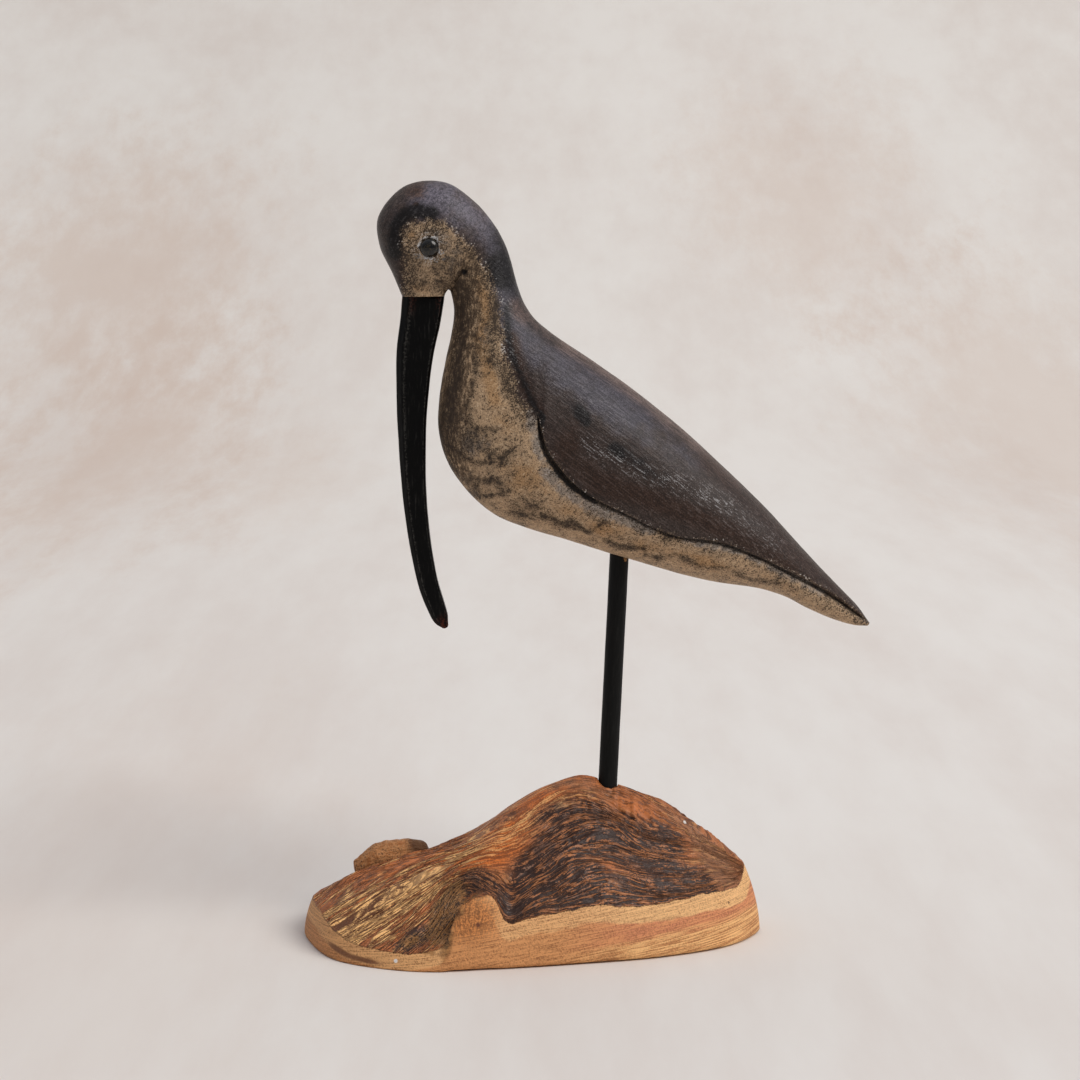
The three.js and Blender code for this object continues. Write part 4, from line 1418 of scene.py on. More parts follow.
class Shader:
    """The node tree of one material, or of the world, in the making."""

    def __init__(self, owner: Any) -> None:
        """Starts with an empty tree in a new material of a name, or in the world."""
        self.owner = bpy.data.materials.new(owner) if isinstance(owner, str) else owner
        self.owner.use_nodes = True
        self.tree = self.owner.node_tree
        self.tree.nodes.clear()

    def node(self, kind: str, settings: Mapping[str, Any] | None = None,
             sockets: Mapping[int | str, Any] | None = None) -> bpy.types.Node:
        """Adds a node.

        Args:
            kind: the node's type.
            settings: what is set on it before its sockets.
            sockets: values or links by a socket's number, name or identifier.
        Returns:
            The node.
        """
        made = self.tree.nodes.new(kind)
        for name, value in (settings or {}).items():
            setattr(made, name, value)
        for key, value in (sockets or {}).items():
            socket = made.inputs[key] if isinstance(key, int) else next(
                s for s in made.inputs if key in (s.identifier, s.name))
            value = value.socket if isinstance(value, Wire) else value
            if isinstance(value, bpy.types.NodeSocket):
                self.tree.links.new(value, socket)
            else:
                socket.default_value = value
        return made

    def number(self, name: str) -> Wire:
        """A named number of the mesh's points."""
        return Wire(self, self.node("ShaderNodeAttribute", {"attribute_name": name}).outputs["Fac"])

    def numbers(self, names: str) -> Iterator[Wire]:
        """Several named numbers, with spaces between their names."""
        return map(self.number, names.split())

    def place(self) -> bpy.types.NodeSocket:
        """The place on the object in millimetres."""
        where = self.node("ShaderNodeTexCoord").outputs["Object"]
        sockets = {"Vector": where, "Scale": 1 / MM}
        return self.node("ShaderNodeVectorMath", {"operation": "SCALE"}, sockets).outputs[0]

    def turned(self, where: Any, turn: float, scale: Point) -> Any:
        """A place turned about Y by degrees and then stretched along each axis."""
        sockets = {"Vector": where, "Rotation": (0, math.radians(turn), 0)}
        turned = self.node("ShaderNodeMapping", {"vector_type": "POINT"}, sockets).outputs[0]
        sockets = {0: turned, 1: scale}
        return self.node("ShaderNodeVectorMath", {"operation": "MULTIPLY"}, sockets).outputs[0]

    def axes(self, where: Any) -> list[Wire]:
        """The three numbers of a place, each on its own."""
        return [Wire(self, way) for way in self.node("ShaderNodeSeparateXYZ", None, {0: where}).outputs]

    def distance(self, where: Any, middle: Sequence[float]) -> Wire:
        """How far a place is from a point."""
        sockets = {0: where, 1: tuple(middle)}
        node = self.node("ShaderNodeVectorMath", {"operation": "DISTANCE"}, sockets)
        return Wire(self, node.outputs["Value"])

    def joined(self, x: Any, y: Any, z: Any = 0.0) -> Any:
        """A place from three numbers."""
        return self.node("ShaderNodeCombineXYZ", None, {0: x, 1: y, 2: z}).outputs[0]

    def cloud(self, where: Any, size: float, detail: float = 2.0, rough: float = 0.5) -> Wire:
        """Soft noise about 0.5.

        Args:
            where: the place it is looked up at, in millimetres.
            size: one cloud's size.
            detail: how many finer layers are added.
            rough: how strong those layers are.
        Returns:
            A number, mostly from 0.25 to 0.75.
        """
        sockets = {"Vector": where, "Scale": 1 / size, "Detail": detail, "Roughness": rough}
        return Wire(self, self.node("ShaderNodeTexNoise", None, sockets).outputs["Fac"])

    def cells(self, where: Any, size: float) -> tuple[Wire, Wire]:
        """Splits space into cells.

        Args:
            where: the place it is looked up at, in millimetres.
            size: one cell's size.
        Returns:
            A number of its own for each cell, and how far the place is from the cell's edge.
        """
        sockets = {"Vector": where, "Scale": 1 / size}
        own = self.node("ShaderNodeTexVoronoi", None, sockets).outputs["Color"]
        own = self.node("ShaderNodeSeparateColor", None, {0: own}).outputs[0]
        edge = self.node("ShaderNodeTexVoronoi", {"feature": "DISTANCE_TO_EDGE"}, sockets)
        return Wire(self, own), Wire(self, edge.outputs["Distance"])

    def spot(self, where: Any, middle: Sequence[float], radius: float) -> Wire:
        """A spot that is 1 within a radius of a point and soon 0 outside it."""
        return self.distance(where, middle).step(radius * 1.25, radius * 0.75)

    def blend(self, share: Any, one: Any, other: Any) -> bpy.types.NodeSocket:
        """A colour a share of the way from one colour to another."""
        sockets = {"Factor_Float": share, "A_Color": one, "B_Color": other}
        return self.node("ShaderNodeMix", {"data_type": "RGBA"}, sockets).outputs[2]

    def shaded(self, colour: Any, share: Wire) -> bpy.types.NodeSocket:
        """A colour made darker or lighter by a number around 1."""
        grey = self.joined(share, share, share)
        sockets = {"Factor_Float": 1.0, "A_Color": colour, "B_Color": grey}
        settings = {"data_type": "RGBA", "blend_type": "MULTIPLY"}
        return self.node("ShaderNodeMix", settings, sockets).outputs[2]

    def bumps(self, height: Wire, depth: float) -> bpy.types.NodeSocket:
        """A normal from a height of 0 to 1 that stands for a depth in millimetres."""
        sockets = {"Height": height, "Distance": depth * MM, "Strength": 1.0}
        return self.node("ShaderNodeBump", None, sockets).outputs[0]

    def finished(self, colour: Any, rough: Any, others: Mapping[str, Any] | None = None) -> Any:
        """Closes the tree with a surface of a colour and a roughness and returns the material."""
        sockets = {"Base Color": colour, "Roughness": rough} | dict(others or {})
        surface = self.node("ShaderNodeBsdfPrincipled", None, sockets)
        self.node("ShaderNodeOutputMaterial", None, {"Surface": surface.outputs[0]})
        return self.owner


@dataclass(frozen=True)
class DecoyPaint:
    """Old two-colour paint, worn grey-brown above and dark-washed tan below, with painted sheen and
    shade.
    """

    slot: str = "painted_wood"
    umber: Colour = seen(60, 49, 44)
    # violet is a painted sheen of the light from above.
    violet: Colour = seen(74, 70, 77)
    # rose is a painted reflection of the warm backdrop.
    rose: Colour = seen(108, 88, 80)
    brown: Colour = seen(54, 38, 30)
    # soot darkens real smudges and also paints shade in the carved groove and the throat pit.
    soot: Colour = seen(14, 11, 11)
    ash: Colour = seen(158, 156, 156)
    tan: Colour = seen(177, 149, 118)
    ochre: Colour = seen(165, 131, 94)
    cream: Colour = seen(222, 206, 180)
    smoke: Colour = seen(132, 128, 124)
    wash: Colour = seen(36, 28, 23)
    stripe: Colour = seen(84, 62, 40)
    chip: Colour = seen(208, 208, 208)
    grain_turn: float = -37.0
    stroke_turn: float = 48.0
    head_ribs: Span = (14.5, 17.0)
    rim: float = 7.0  # how far the pale paint's darker rim reaches in
    gloss: float = 0.24

    def material(self) -> bpy.types.Material:
        """The paint as nodes that read the bird's named numbers."""
        made = Shader("decoy_paint")
        place = made.place()
        grain = made.turned(place, self.grain_turn, (0.08, 1, 1))
        strokes = made.turned(place, self.stroke_turn, (0.45, 1, 1))
        upright = made.turned(place, 0, (1, 1, 0.16))
        mottle = made.cloud(place, 7, 3, 0.6)
        blotch = made.cloud(place, 2.6, 3, 0.65)
        speck = made.cloud(strokes, 1.1, 2, 0.6)
        grit = made.cloud(place, 0.55, 2, 0.6)
        lines = made.cloud(grain, 0.6, 3, 0.6)
        strands = made.cloud(upright, 0.9, 3, 0.6)
        pale, cut, eye, pit, rib = made.numbers("pale cut eye pit rib")
        hairs = mix(lines, speck, rib.step(*self.head_ribs))
        upper = self.upper(made, mottle, blotch, grit, hairs)
        lower = self.lower(made, mottle, blotch, speck, grit, strands)
        edge = pale + (blotch - 0.5) * 5 + (speck - 0.5) * 5 + (grit - 0.5) * 6
        is_pale = edge.step(-1.6, 1.6)
        colour = made.blend(is_pale, upper, lower)
        flaking = (grit * 0.4 + speck * 0.3 + mottle * 0.3).step(0.57, 0.62)
        chipped = abs(edge - 0.4).step(1.6, 0.4) * flaking
        colour = made.blend(chipped * 0.7, colour, self.chip)
        soot = made.number("soot")
        # Painted shade: the carved cut under the wing goes near black, more so under the soot marks.
        dark = (cut * mix(1.1, 2.4, soot) + speck + blotch - 1).step(0.18, 0.75)
        colour = made.blend(dark * mix(0.75, 0.97, soot), colour, self.soot)
        ring = (eye - EYES.rim).step(0.9, 0.2) * (grit + speck - 0.5).step(0.4, 0.6)
        colour = made.blend(ring * 0.85, colour, self.chip)
        around = (eye - EYES.rim).step(4.5, 0.5) * (grit * 0.6 + speck * 0.4).step(0.53, 0.6)
        colour = made.blend(around * 0.6, colour, self.chip)
        # Painted shade: the throat pit goes near black.
        colour = made.blend(pit.step(1.6, 0.8) * 0.97, colour, self.soot)
        rough = mix(0.43, 0.62, is_pale) + (speck - 0.5) * 0.45
        height = lines * 0.45 + speck * 0.45 + grit * 0.3 + blotch * 0.6
        normal = made.bumps(height, 0.35)
        return made.finished(colour, rough, {"Normal": normal, "Specular IOR Level": self.gloss})

    def upper(self, made: Shader, mottle: Wire, blotch: Wire, grit: Wire, hairs: Wire) -> Any:
        """The dark paint's colour and painted sheen and shade, from the shader's clouds of different
        sizes.
        """
        violet, gleam, rose, rust, soot, worn = made.numbers("violet gleam rose rust soot worn")
        uneven = mottle - 0.5
        frayed = uneven * 0.7 + (hairs - 0.5) * 0.7
        # Painted sheen: the violet-grey of the light from above on the back and crown.
        colour = made.blend((violet + uneven * 1.2).step(0.15, 0.95), self.umber, self.violet)
        # Painted reflection: a rosy strip along the top edges.
        colour = made.blend((rose + frayed).step(0.2, 0.9) * 0.85, colour, self.rose)
        colour = made.blend((rust + frayed).step(0.15, 0.85), colour, self.brown)
        tone = hairs * 0.5 + grit * 0.5
        # Fine texture, and gleam lightening the crown where it catches the light: a painted highlight.
        colour = made.shaded(colour, mix(0.5, 1.5, tone.step(0.38, 0.62)) * (gleam * 0.9 + 0.94))
        # Soot smudges, and painted shade beside the groove at the wing's bend.
        smudge_and_shade = soot + (blotch - 0.5) * 0.8 + (hairs - 0.5) * 0.7
        colour = made.blend(smudge_and_shade.step(0.1, 0.7) * 0.93, colour, self.soot)
        scratches = (hairs * 0.65 + grit * 0.35).step(0.54, 0.6)
        colour = made.blend(scratches * (worn * 0.7 + 0.06).least(1), colour, self.ash)
        flecks = (grit * 0.7 + blotch * 0.3).step(0.6, 0.66)
        return made.blend(flecks * (worn * 0.4 + 0.08), colour, self.ash)

    def lower(self, made: Shader, mottle: Wire, blotch: Wire, speck: Wire, grit: Wire,
              strands: Wire) -> Any:
        """The pale paint's colour under its dark wash."""
        wash, warm, smoke, streaks, pale = made.numbers("wash warm smoke streaks pale")
        uneven = mottle - 0.5
        rim = pale.step(self.rim, 0) * (1 - smoke * 0.8).most(0)
        ochre = (warm + uneven * 1.2 - rim * 0.3).step(0.2, 0.9)
        grey = (smoke + (blotch - 0.5) * 1.2 - uneven * 0.8).step(0.25, 0.9)
        dirty = wash + streaks * 0.3 - ochre * 0.15 + rim * 0.4
        dirty = (dirty + (blotch - 0.5) * 1.1 - uneven * 1.5 + 0.3).step(0, 1)
        tone = speck * 0.35 + grit * 0.65
        colour = made.blend(grey * 0.65, made.blend(ochre, self.tan, self.ochre), self.smoke)
        colour = made.shaded(colour, mix(1.06, 0.5, dirty) * mix(0.8, 1.2, tone.step(0.4, 0.6)))
        light = made.blend(grey, self.cream, self.chip)
        colour = made.blend(tone.step(0.56, 0.68) * 0.5, colour, light)
        specks = (tone - dirty * 0.06 - rim * 0.05 + uneven * 0.1).step(0.46, 0.36)
        colour = made.blend(specks * 0.8, colour, self.wash)
        scallops = (wash + (speck + blotch - 1) * 2 + (grit - 0.5) * 1.6).step(0.62, 0.86)
        colour = made.blend(scallops * 0.85, colour, self.wash)
        stripes = (strands * 0.75 + blotch * 0.25 + streaks * 0.11).step(0.5, 0.66) * streaks
        colour = made.blend((stripes * 1.5).least(1) * 0.55, colour, self.stripe)
        return made.blend(stripes * 0.68, colour, self.wash)


@dataclass(frozen=True)
class BlackPaint:
    """Black satin paint, worn through to reddish brown near the bill's tip, with painted edge
    highlights.
    """

    slot: str = "black_paint"
    black: Colour = seen(5, 5, 5)
    # faded_and_sheen is worn paint, and on the bill also a painted highlight on the chamfered edges.
    faded_and_sheen: Colour = seen(66, 64, 61)
    reddish: Colour = seen(76, 36, 25)
    gloss: float = 0.1

    def material(self) -> bpy.types.Material:
        """The paint as nodes that read the bill's named numbers."""
        made = Shader("bill_paint")
        place = made.place()
        share, corner = made.numbers("share corner")
        along = made.turned(place, 0, (1, 1, 0.1))
        lines, speck = made.cloud(along, 0.6, 3), made.cloud(place, 0.8, 3)
        mottle = made.cloud(place, 5, 2)
        # Painted highlights: faint lines along the bill, then its chamfered edges.
        colour = made.blend(lines.step(0.55, 0.75) * 0.3, self.black, self.faded_and_sheen)
        colour = made.blend((corner * 0.5 + speck - 0.5).step(0.3, 0.6) * 0.6, colour, self.faded_and_sheen)
        tip = (share + (mottle - 0.5) * 0.2).step(0.86, 0.99)
        worn = tip.most(share.step(0.1, 0.0) * corner * 0.9)
        colour = made.blend(worn * (speck + lines - 1).step(-0.12, 0.2) * 0.9, colour, self.reddish)
        rough = 0.4 + (speck - 0.5) * 0.25 + tip * 0.15
        normal = made.bumps(lines * 0.7 + speck * 0.5, 0.1)
        return made.finished(colour, rough, {"Normal": normal, "Specular IOR Level": self.gloss})


@dataclass(frozen=True)
class LegPaint:
    """Matt black on a dowel, with the wood's lines showing in the gloss."""

    slot: str = "leg_paint"
    black: Colour = seen(10, 10, 9)
    faded_and_sheen: Colour = seen(30, 29, 27)
    bare: Colour = seen(150, 108, 66)
    chip_drop: float = 1.2  # how far below the belly the worn spot lies
    chip_way: Point = (0.62, -0.78, 0)
    gloss: float = 0.14

    def material(self) -> bpy.types.Material:
        """The paint as nodes."""
        made = Shader("leg_paint")
        place = made.place()
        along = made.turned(place, -LEG.lean, (1, 1, 0.06))
        lines, speck = made.cloud(along, 0.5, 3, 0.6), made.cloud(place, 1.1, 3)
        colour = made.blend(lines.step(0.45, 0.7) * 0.5, self.black, self.faded_and_sheen)
        colour = made.blend(speck.step(0.68, 0.74) * 0.6, colour, self.faded_and_sheen)
        low, high, radius = LEG.line()
        chip = high - unit(high - low) * (BIRD.leg_socket + self.chip_drop)
        chip = made.spot(place, chip + np.array(self.chip_way) * radius, 1.0)
        colour = made.blend(chip * speck.step(0.4, 0.5), colour, self.bare)
        normal = made.bumps(lines + speck * 0.5, 0.12)
        rough = 0.55 + (lines - 0.5) * 0.3
        return made.finished(colour, rough, {"Normal": normal, "Specular IOR Level": self.gloss})


@dataclass(frozen=True)
class BeadGloss:
    """A glossy black bead with a faint brown mottle painted in as reflection."""

    slot: str = "eye_bead"
    black: Colour = seen(7, 7, 7)
    brown_reflection: Colour = seen(58, 50, 34)
    index: float = 1.5  # of refraction

    def material(self) -> bpy.types.Material:
        """The bead as nodes."""
        made = Shader("bead_gloss")
        mottle = made.cloud(made.place(), 0.8, 3, 0.6)
        # Painted reflection: a faint brown mottle in the black.
        colour = made.blend(mottle.step(0.48, 0.7), self.black, self.brown_reflection)
        return made.finished(colour, 0.08 + mottle * 0.06, {"IOR": self.index})


@dataclass(frozen=True)
class Grain:
    """The wood's patterns, each a number in its shader."""

    streak: Wire
    hair: Wire
    flake: Wire
    speck: Wire
    mottle: Wire
    layer: Wire
    dash: Wire
    splinter: Wire
    crack: Wire
    ridge: Wire
    lump: Wire


@dataclass(frozen=True)
class RootWood:
    """Root wood: pale sawn sides, torn straw and brown fibres, dark ridged bark and bare wood."""

    slot: str = "root_wood"
    sapwood: Colour = seen(224, 175, 120)
    heart: Colour = seen(204, 132, 92)
    sawn: Colour = seen(202, 142, 90)
    stripe: Colour = seen(226, 176, 118)
    straw: Colour = seen(248, 192, 124)
    brown: Colour = seen(194, 115, 63)
    orange: Colour = seen(220, 119, 49)
    plum: Colour = seen(34, 19, 14)
    tan: Colour = seen(166, 116, 82)
    moss: Colour = seen(46, 31, 18)
    lichen: Colour = seen(156, 110, 64)
    # slate is a painted blue-grey sheen on the bark's ridges.
    slate: Colour = seen(128, 99, 84)
    pink: Colour = seen(186, 120, 75)
    knob: Colour = seen(168, 106, 56)
    pore: Colour = seen(146, 90, 50)
    stain: Colour = seen(92, 50, 36)
    chip: Colour = seen(225, 220, 214)
    knob_root: Span = (-27, -8)  # its fibres fan out from here in the wall
    band: float = 6.5
    band_slope: float = 0.13
    stub_dark: float = 23.0  # the stub is dark from here on, in mm from its left end
    top_chip: Point = (63.7, -3.7, 47.9)
    side_chip: Point = (-54.4, -56.6, 3.9)
    knot_speck: Point = (-21.5, -54.9, 18.3)
    end_speck: Point = (81.1, -19.1, 17.6)
    gloss: float = 0.32

    def material(self) -> bpy.types.Material:
        """The wood as nodes that read the root's named numbers."""
        made = Shader("root_wood")
        place = made.place()
        grain = self.grain(made, place)
        along, drop, torn, bark, stub = made.numbers("along drop torn bark stub")
        is_sawn = (drop + (grain.streak - 0.5) * 0.9 + (grain.speck - 0.5) * 0.8).step(-0.12, 0.2)
        top, sides = self.top(made, place, grain), self.sides(made, place, drop, grain)
        colour = made.blend(is_sawn, top, sides)
        rough_bark = made.blend(grain.lump.step(0.36, 0.56), self.knob, self.sawn)
        cracks = (grain.speck * 0.6 + grain.lump * 0.4).step(0.53, 0.6)
        dark = (cracks + (along - self.stub_dark).step(-1, 4)).least(1)
        rough_bark = made.blend(dark * 0.75, rough_bark, self.plum)
        colour = made.blend(stub, colour, rough_bark)
        rough = mix(0.42 + (grain.hair - 0.5) * 0.5, 0.66, is_sawn)
        height = grain.hair * 0.4 + grain.streak * 0.4 + grain.ridge * bark * 0.7
        height = height + (grain.layer * 0.4 + grain.splinter * 0.4 - grain.crack * 0.5) * torn
        height = height + grain.lump * 0.5
        normal = made.bumps(mix(height, grain.speck * 0.25, is_sawn), 0.7)
        return made.finished(colour, rough, {"Normal": normal, "Specular IOR Level": self.gloss})

    def grain(self, made: Shader, place: Any) -> Grain:
        """The patterns that follow the fibres, and some that don't."""
        along, across = made.numbers("along across")
        speck = made.cloud(place, 0.7, 3, 0.65)
        lump = made.cloud(place, 2.6, 4, 0.7)
        hair = made.cloud(made.joined(along * 0.07, across, 5.0), 0.5, 2, 0.6)
        ragged = across + (hair - 0.5) * 1.6
        layer, _ = made.cells(made.joined(along * 0.09, ragged, 7.0), 1.9)
        frayed, wavy = across + (speck - 0.5) * 0.4, across + (lump - 0.5) * 0.8
        splinter, split = made.cells(made.joined(along * 0.1, frayed, 0.0), 0.8)
        waves = abs(made.cloud(made.joined(along * 0.07, wavy, 3.0), 1.9, 2, 0.5) - 0.5)
        return Grain(
            streak=made.cloud(made.joined(along * 0.07, across), 1.2, 3, 0.6),
            hair=hair,
            flake=made.cloud(made.joined(along * 0.13, across, 9.0), 1.5, 5, 0.72),
            speck=speck,
            mottle=made.cloud(place, 6, 3, 0.6),
            layer=layer,
            dash=made.cloud(made.joined(along * 0.17, across, 11.0), 0.6, 2, 0.6),
            splinter=splinter,
            crack=(split + (hair - 0.5) * 0.3).step(0.17, 0.04),
            ridge=waves.step(0.05, 0.01),
            lump=lump,
        )

    def top(self, made: Shader, place: Any, grain: Grain) -> Any:
        """The natural top's colour."""
        names = "straw orange plum tan moss torn bark relief"
        straw, orange, plum, tan, moss, torn, bark, relief = made.numbers(names)
        uneven = grain.mottle - 0.5
        under = made.blend((orange + uneven * 0.8).step(0.15, 0.85), self.brown, self.orange)
        under = made.blend((tan + uneven * 0.9).step(0.2, 0.9) * 0.85, under, self.tan)
        under = made.shaded(under, mix(1, 0.72, (bark - orange * 0.5 - tan * 0.9).step(0, 1)))
        picked = grain.layer * 0.5 + grain.splinter * 0.5 + straw * 0.6 + (grain.streak - 0.5) * 0.6
        flaked = picked.step(0.7, 0.8) * (torn + straw * 0.8 + 0.3).least(1)
        light = made.blend(flaked, under, self.straw)
        # The plum zones are dark bark, and partly painted shade in the bands that run across the slope.
        dark = plum + bark * (1 - tan) * 0.42 + (grain.flake - 0.5) * 1.3
        dark = (dark + uneven * 0.7).step(0.2, 0.75)
        # In the dark zones the lit fibre tips are pinkish wood, and slate grey as a painted sheen on the
        # ridges.
        tips = made.blend((grain.flake + uneven).step(0.34, 0.5), self.slate, self.pink)
        light = made.blend(dark * 0.9, light, tips)
        shade = made.blend(dark * 0.9, made.shaded(under, mix(0.36, 0.22, torn)), self.plum)
        fine = mix(grain.hair, grain.dash, 0.3 + bark * 0.5) * 0.5
        fine = fine + grain.streak * 0.25 + grain.speck * 0.25
        level = (fine + relief * 0.04 - dark * 0.05 + torn * 0.02).step(0.46, 0.55)
        level = (level * (1 - grain.crack * torn * 0.6) + grain.ridge * bark * 0.6).least(1)
        colour = made.blend(level, shade, light)
        crumbs = (grain.dash * 0.5 + grain.speck * 0.5).step(0.42, 0.53)
        mossy = (moss + (grain.lump - 0.5) * 0.9 + (grain.speck - 0.5) * 0.5).step(0.3, 0.7)
        colour = made.blend(mossy * 0.92, colour, made.blend(crumbs, self.moss, self.lichen))
        return made.blend(made.spot(place, self.top_chip, 0.8), colour, self.chip)

    def sides(self, made: Shader, place: Any, drop: Wire, grain: Grain) -> Any:
        """The sawn sides' colour: a pale band under the rim, then heartwood with stripes."""
        speck = grain.speck
        x, _, z = made.axes(place)
        level = made.joined(x * 0.04, 0.0, z - x * self.band_slope)
        stripes, lines = made.cloud(level, 1.6, 3, 0.55), made.cloud(level, 0.5, 2)
        pores = made.cloud(made.turned(place, 35, (1, 1, 0.3)), 0.42, 2)
        right = x.step(5, 45)
        pinkish = made.blend(lines.step(0.45, 0.6) * 0.5, self.heart, self.sawn)
        low = (z - x * 0.1 + (stripes - 0.5) * 4).step(5.5, 1.5)
        heart = made.blend(right * (1 - low), self.sawn, pinkish)
        heart = made.blend(low * right * lines.step(0.4, 0.6), heart, self.stripe)
        below = (drop + (stripes - 0.5) * 2.5).step(self.band - 0.5, self.band + 0.7)
        colour = made.blend(mix(0.35 * (1 - right), 1, below), self.sapwood, heart)
        # Painted shade: the sawn sides turn browner toward the left end, which faces away from the lamp.
        colour = made.blend(x.step(-45, -90) * 0.2, colour, self.knob)
        streaked = made.number("stain") + (lines - 0.5) * 0.5
        colour = made.blend(streaked.step(0.35, 0.8) * 0.8, colour, self.stain)
        fan = (x - self.knob_root[0]) / (z - self.knob_root[1])
        rays = made.cloud(made.joined(fan * 30, z * 0.12), 0.8, 3, 0.6) * 0.5 + speck * 0.5
        around = (made.number("knob") + (speck - 0.5) * 0.9).step(0.1, 0.9)
        rayed = made.shaded(self.knob, mix(0.6, 1.5, rays.step(0.42, 0.58)))
        colour = made.blend(around * 0.9, colour, rayed)
        fuzz = (pores * 0.35 + lines * 0.35 + speck * 0.3).step(0.5, 0.4)
        colour = made.blend(fuzz * mix(0.65, 0.45, right), colour, self.pore)
        mossy = made.number("moss_wall") + (grain.lump - 0.5) * 1.6 + (speck - 0.5) * 0.8
        moss = made.blend(grain.lump.step(0.45, 0.6), self.moss, self.lichen)
        colour = made.blend(mossy.step(0.3, 0.8) * 0.85, colour, moss)
        colour = made.shaded(colour, mix(0.76, 1.14, (lines * 0.5 + speck * 0.5).step(0.4, 0.6)))
        colour = made.blend(made.spot(place, self.knot_speck, 0.9) * 0.8, colour, self.stain)
        colour = made.blend(made.spot(place, self.side_chip, 0.8), colour, self.chip)
        return made.blend(made.spot(place, self.end_speck, 0.55) * 0.7, colour, self.plum)


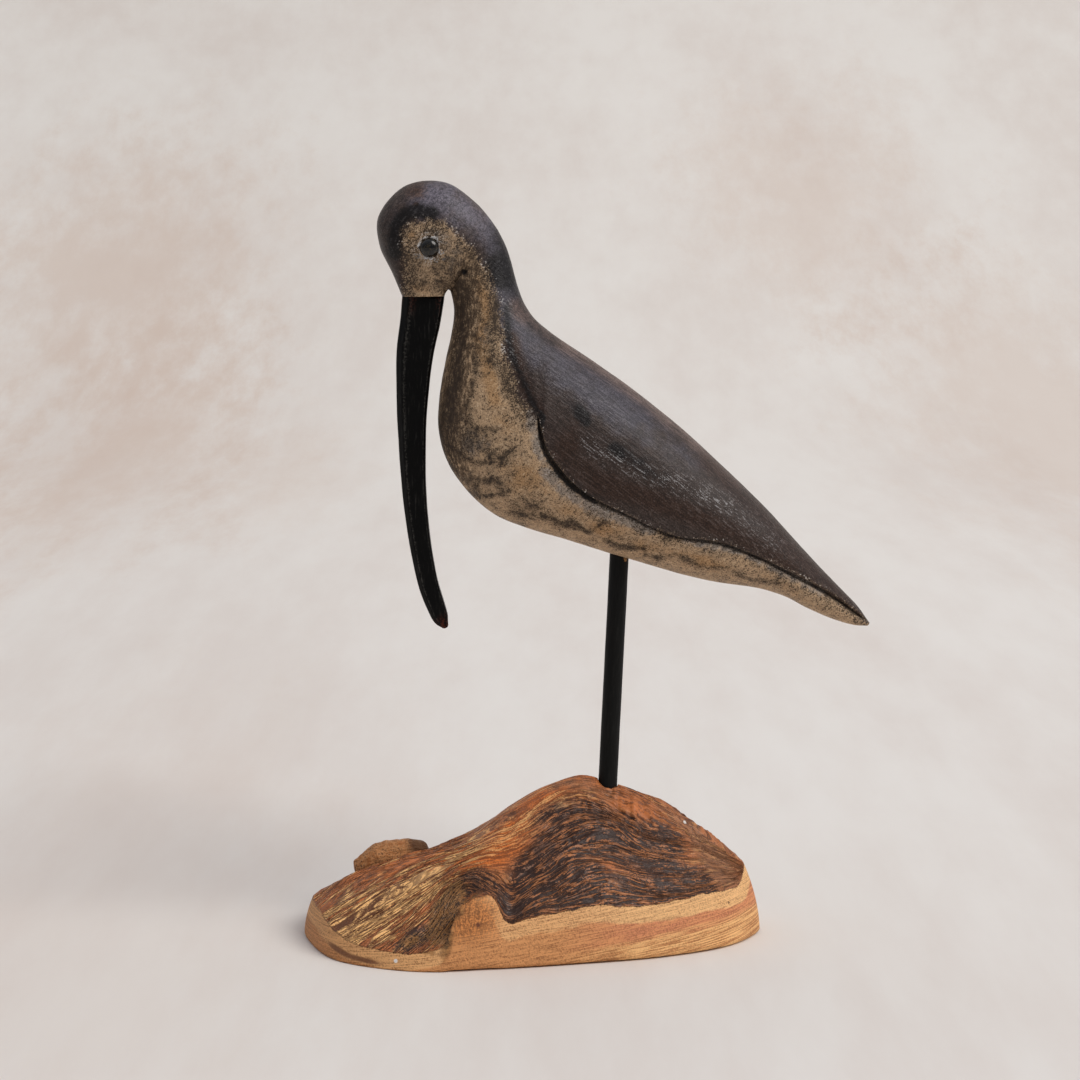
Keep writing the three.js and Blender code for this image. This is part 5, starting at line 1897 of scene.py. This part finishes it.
@dataclass(frozen=True)
class Studio:
    """A pale sweep of paper, one large soft lamp at the right, and the light of a pale room."""

    paper: Colour = seen(230, 226, 220)
    stain: Colour = seen(217, 207, 199)
    warm: Colour = seen(208, 186, 170)
    stretch: Point = (1, 0.2, 1)  # the mottling is drawn out along the floor
    patches: tuple[tuple[float, float, float, float, float], ...] = (  # x, y, z, reach, strength
        (-400, 320, 15, 190, 0.5), (-240, 300, 5, 110, 0.25), (-480, 400, 160, 260, 0.55),
        # The last patch, on the floor left of the decoy where its soft shadow falls, is a painted warm
        # shadow.
        (520, 330, 40, 240, 0.4), (330, 450, 250, 220, 0.4), (-190, 10, 0, 170, 0.2),
    )
    floor_rows: tuple[float, ...] = (-6, -1, 0, 0.5, 1)  # in metres, like the sweep's other sizes
    sweep_start: float = 1.5
    sweep_radius: float = 2.2
    sweep_rows: int = 24
    sweep_top: float = 4.0
    half_width: float = 4.0
    column_count: int = 9
    rough: float = 0.9
    # wall_share, dark_share and left_paper paint shade on the paper: dimmer up the wall, toward the
    # camera and at the left.
    wall_share: float = 0.96
    dark_share: float = 0.65
    left_paper: float = 0.93
    wall: Span = (700, 2400)  # in mm behind the decoy
    dark: Span = (-900, -380)  # the paper is dim from here to the camera, in mm
    left: Span = (-500, 300)  # it dims over this way to the left, in mm
    sun_way: Point = (-0.60, 0.42, -0.68)
    sun_spread: float = 38.0
    sun_power: float = 1.94
    sun_colour: Point = (1.0, 0.97, 0.93)
    room_colour: Colour = seen(223, 224, 232)
    room_light: Span = (0.47, 0.955)
    left_share: float = 0.9
    front_share: float = 0.5

    def sun(self) -> None:
        """The soft lamp, far away at the right."""
        light = bpy.data.lights.new("key", "SUN")
        light.energy = self.sun_power
        light.angle = math.radians(self.sun_spread)
        light.color = self.sun_colour
        lamp = bpy.data.objects.new("key", light)
        lamp.rotation_euler = Vector(self.sun_way).to_track_quat("-Z", "Y").to_euler()
        bpy.context.scene.collection.objects.link(lamp)

    def room(self) -> None:
        """The room's own light: bright above, dimmer at the left and behind the camera."""
        world = bpy.data.worlds.new("room")
        bpy.context.scene.world = world
        made = Shader(world)
        right, back, up = made.axes(made.node("ShaderNodeTexCoord").outputs["Generated"])
        light = mix(*self.room_light, up.step(-0.1, 0.9))
        light = light * mix(self.left_share, 1, right.step(-0.8, 0.3))
        light = light * mix(self.front_share, 1, back.step(-0.9, 0.1))
        sockets = {"Color": made.shaded(self.room_colour, light), "Strength": 1.0}
        glow = made.node("ShaderNodeBackground", None, sockets)
        made.node("ShaderNodeOutputWorld", None, {"Surface": glow.outputs[0]})

    def sweep(self) -> None:
        """The paper: flat under the decoy and far around it, then curved up behind."""
        turn = np.linspace(0, np.pi / 2, self.sweep_rows)
        y = np.append(self.floor_rows, self.sweep_start + self.sweep_radius * np.sin(turn))
        z = np.append(np.zeros(len(self.floor_rows)), self.sweep_radius * (1 - np.cos(turn)))
        y, z = np.append(y, y[-1]), np.append(z, self.sweep_top)
        x = np.linspace(-self.half_width, self.half_width, self.column_count)
        grid = np.stack(np.broadcast_arrays(x[:, None], y, z), -1) / MM
        form = Form()
        form.add(grid)
        form.quads(grid_faces(np.arange(x.size * y.size).reshape(x.size, y.size)))
        paper = form.mesh("paper_sweep")
        paper.data.materials.append(self.surface())

    def surface(self) -> bpy.types.Material:
        """The paper's mottled look, with painted shade that dims it up the wall, at the left and toward
        the camera.
        """
        made = Shader("paper")
        place = made.place()
        drawn_out = made.turned(place, 0, self.stretch)
        mottle = made.cloud(drawn_out, 190, 3, 0.5) * 0.65 + made.cloud(drawn_out, 30, 4, 0.6) * 0.35
        colour = made.blend(mottle.step(0.34, 0.72) * 0.75, self.paper, self.stain)
        fine = made.cloud(drawn_out, 40, 5, 0.7) - 0.5
        for *middle, reach, strength in self.patches:
            away = made.distance(drawn_out, middle) / reach
            share = (away + (mottle - 0.5) * 1.2 + fine * 1.5).step(1, 0.1)
            colour = made.blend(share * strength, colour, self.warm)
        # Painted shade: the paper is dimmed up the wall, toward the camera and at the left.
        across, depth, _ = made.axes(place)
        level = mix(1, self.wall_share, depth.step(*self.wall))
        level = level * mix(self.dark_share, 1, depth.step(*self.dark))
        level = level * mix(self.left_paper, 1, across.step(*self.left))
        return made.finished(made.shaded(colour, level), self.rough)

    def build(self) -> None:
        """The whole studio."""
        self.sweep()
        self.room()
        self.sun()


@dataclass(frozen=True)
class PhotoCamera:
    """The camera that saw the decoy: a long lens a little above it, looking slightly down."""

    place: Point = (0.00335, -1.2, 0.344)
    pitch: float = -8.45
    lens: float = 98.4
    film: float = 36.0

    def build(self) -> None:
        """Sets up the camera."""
        camera = bpy.data.cameras.new("camera")
        camera.lens, camera.sensor_width = self.lens, self.film
        holder = bpy.data.objects.new("camera", camera)
        holder.location = self.place
        holder.rotation_euler = (math.radians(90 + self.pitch), 0, 0)
        bpy.context.scene.collection.objects.link(holder)
        bpy.context.scene.camera = holder


def dressed(piece: Piece, node: str, finish: Any) -> None:
    """Gives a piece its finish and puts it in its solid's place."""
    piece.data.materials.clear()
    piece.data.materials.append(finish.material())
    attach(piece, "root")
    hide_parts(node)
    faces = sum(len(face.vertices) - 2 for face in piece.data.polygons)
    LOG.info("%s stands for %s with %d triangles", piece.name, node, faces)


def main() -> None:
    """Builds the decoy, its studio and the camera."""
    logging.basicConfig(level=logging.INFO, format="%(message)s")
    bpy.context.scene.view_settings.view_transform = "Standard"
    dressed(BIRD.build(), BIRD.node, DecoyPaint())
    dressed(BILL.build(), BILL.node, BlackPaint())
    for side in EYES.sides:
        dressed(EYES.build(side), EYES.node(side), BeadGloss())
    dressed(LEG.build(), LEG.node, LegPaint())
    dressed(ROOT.build(), ROOT.node, RootWood())
    Studio().build()
    PhotoCamera().build()


if __name__ == "__main__":
    main()
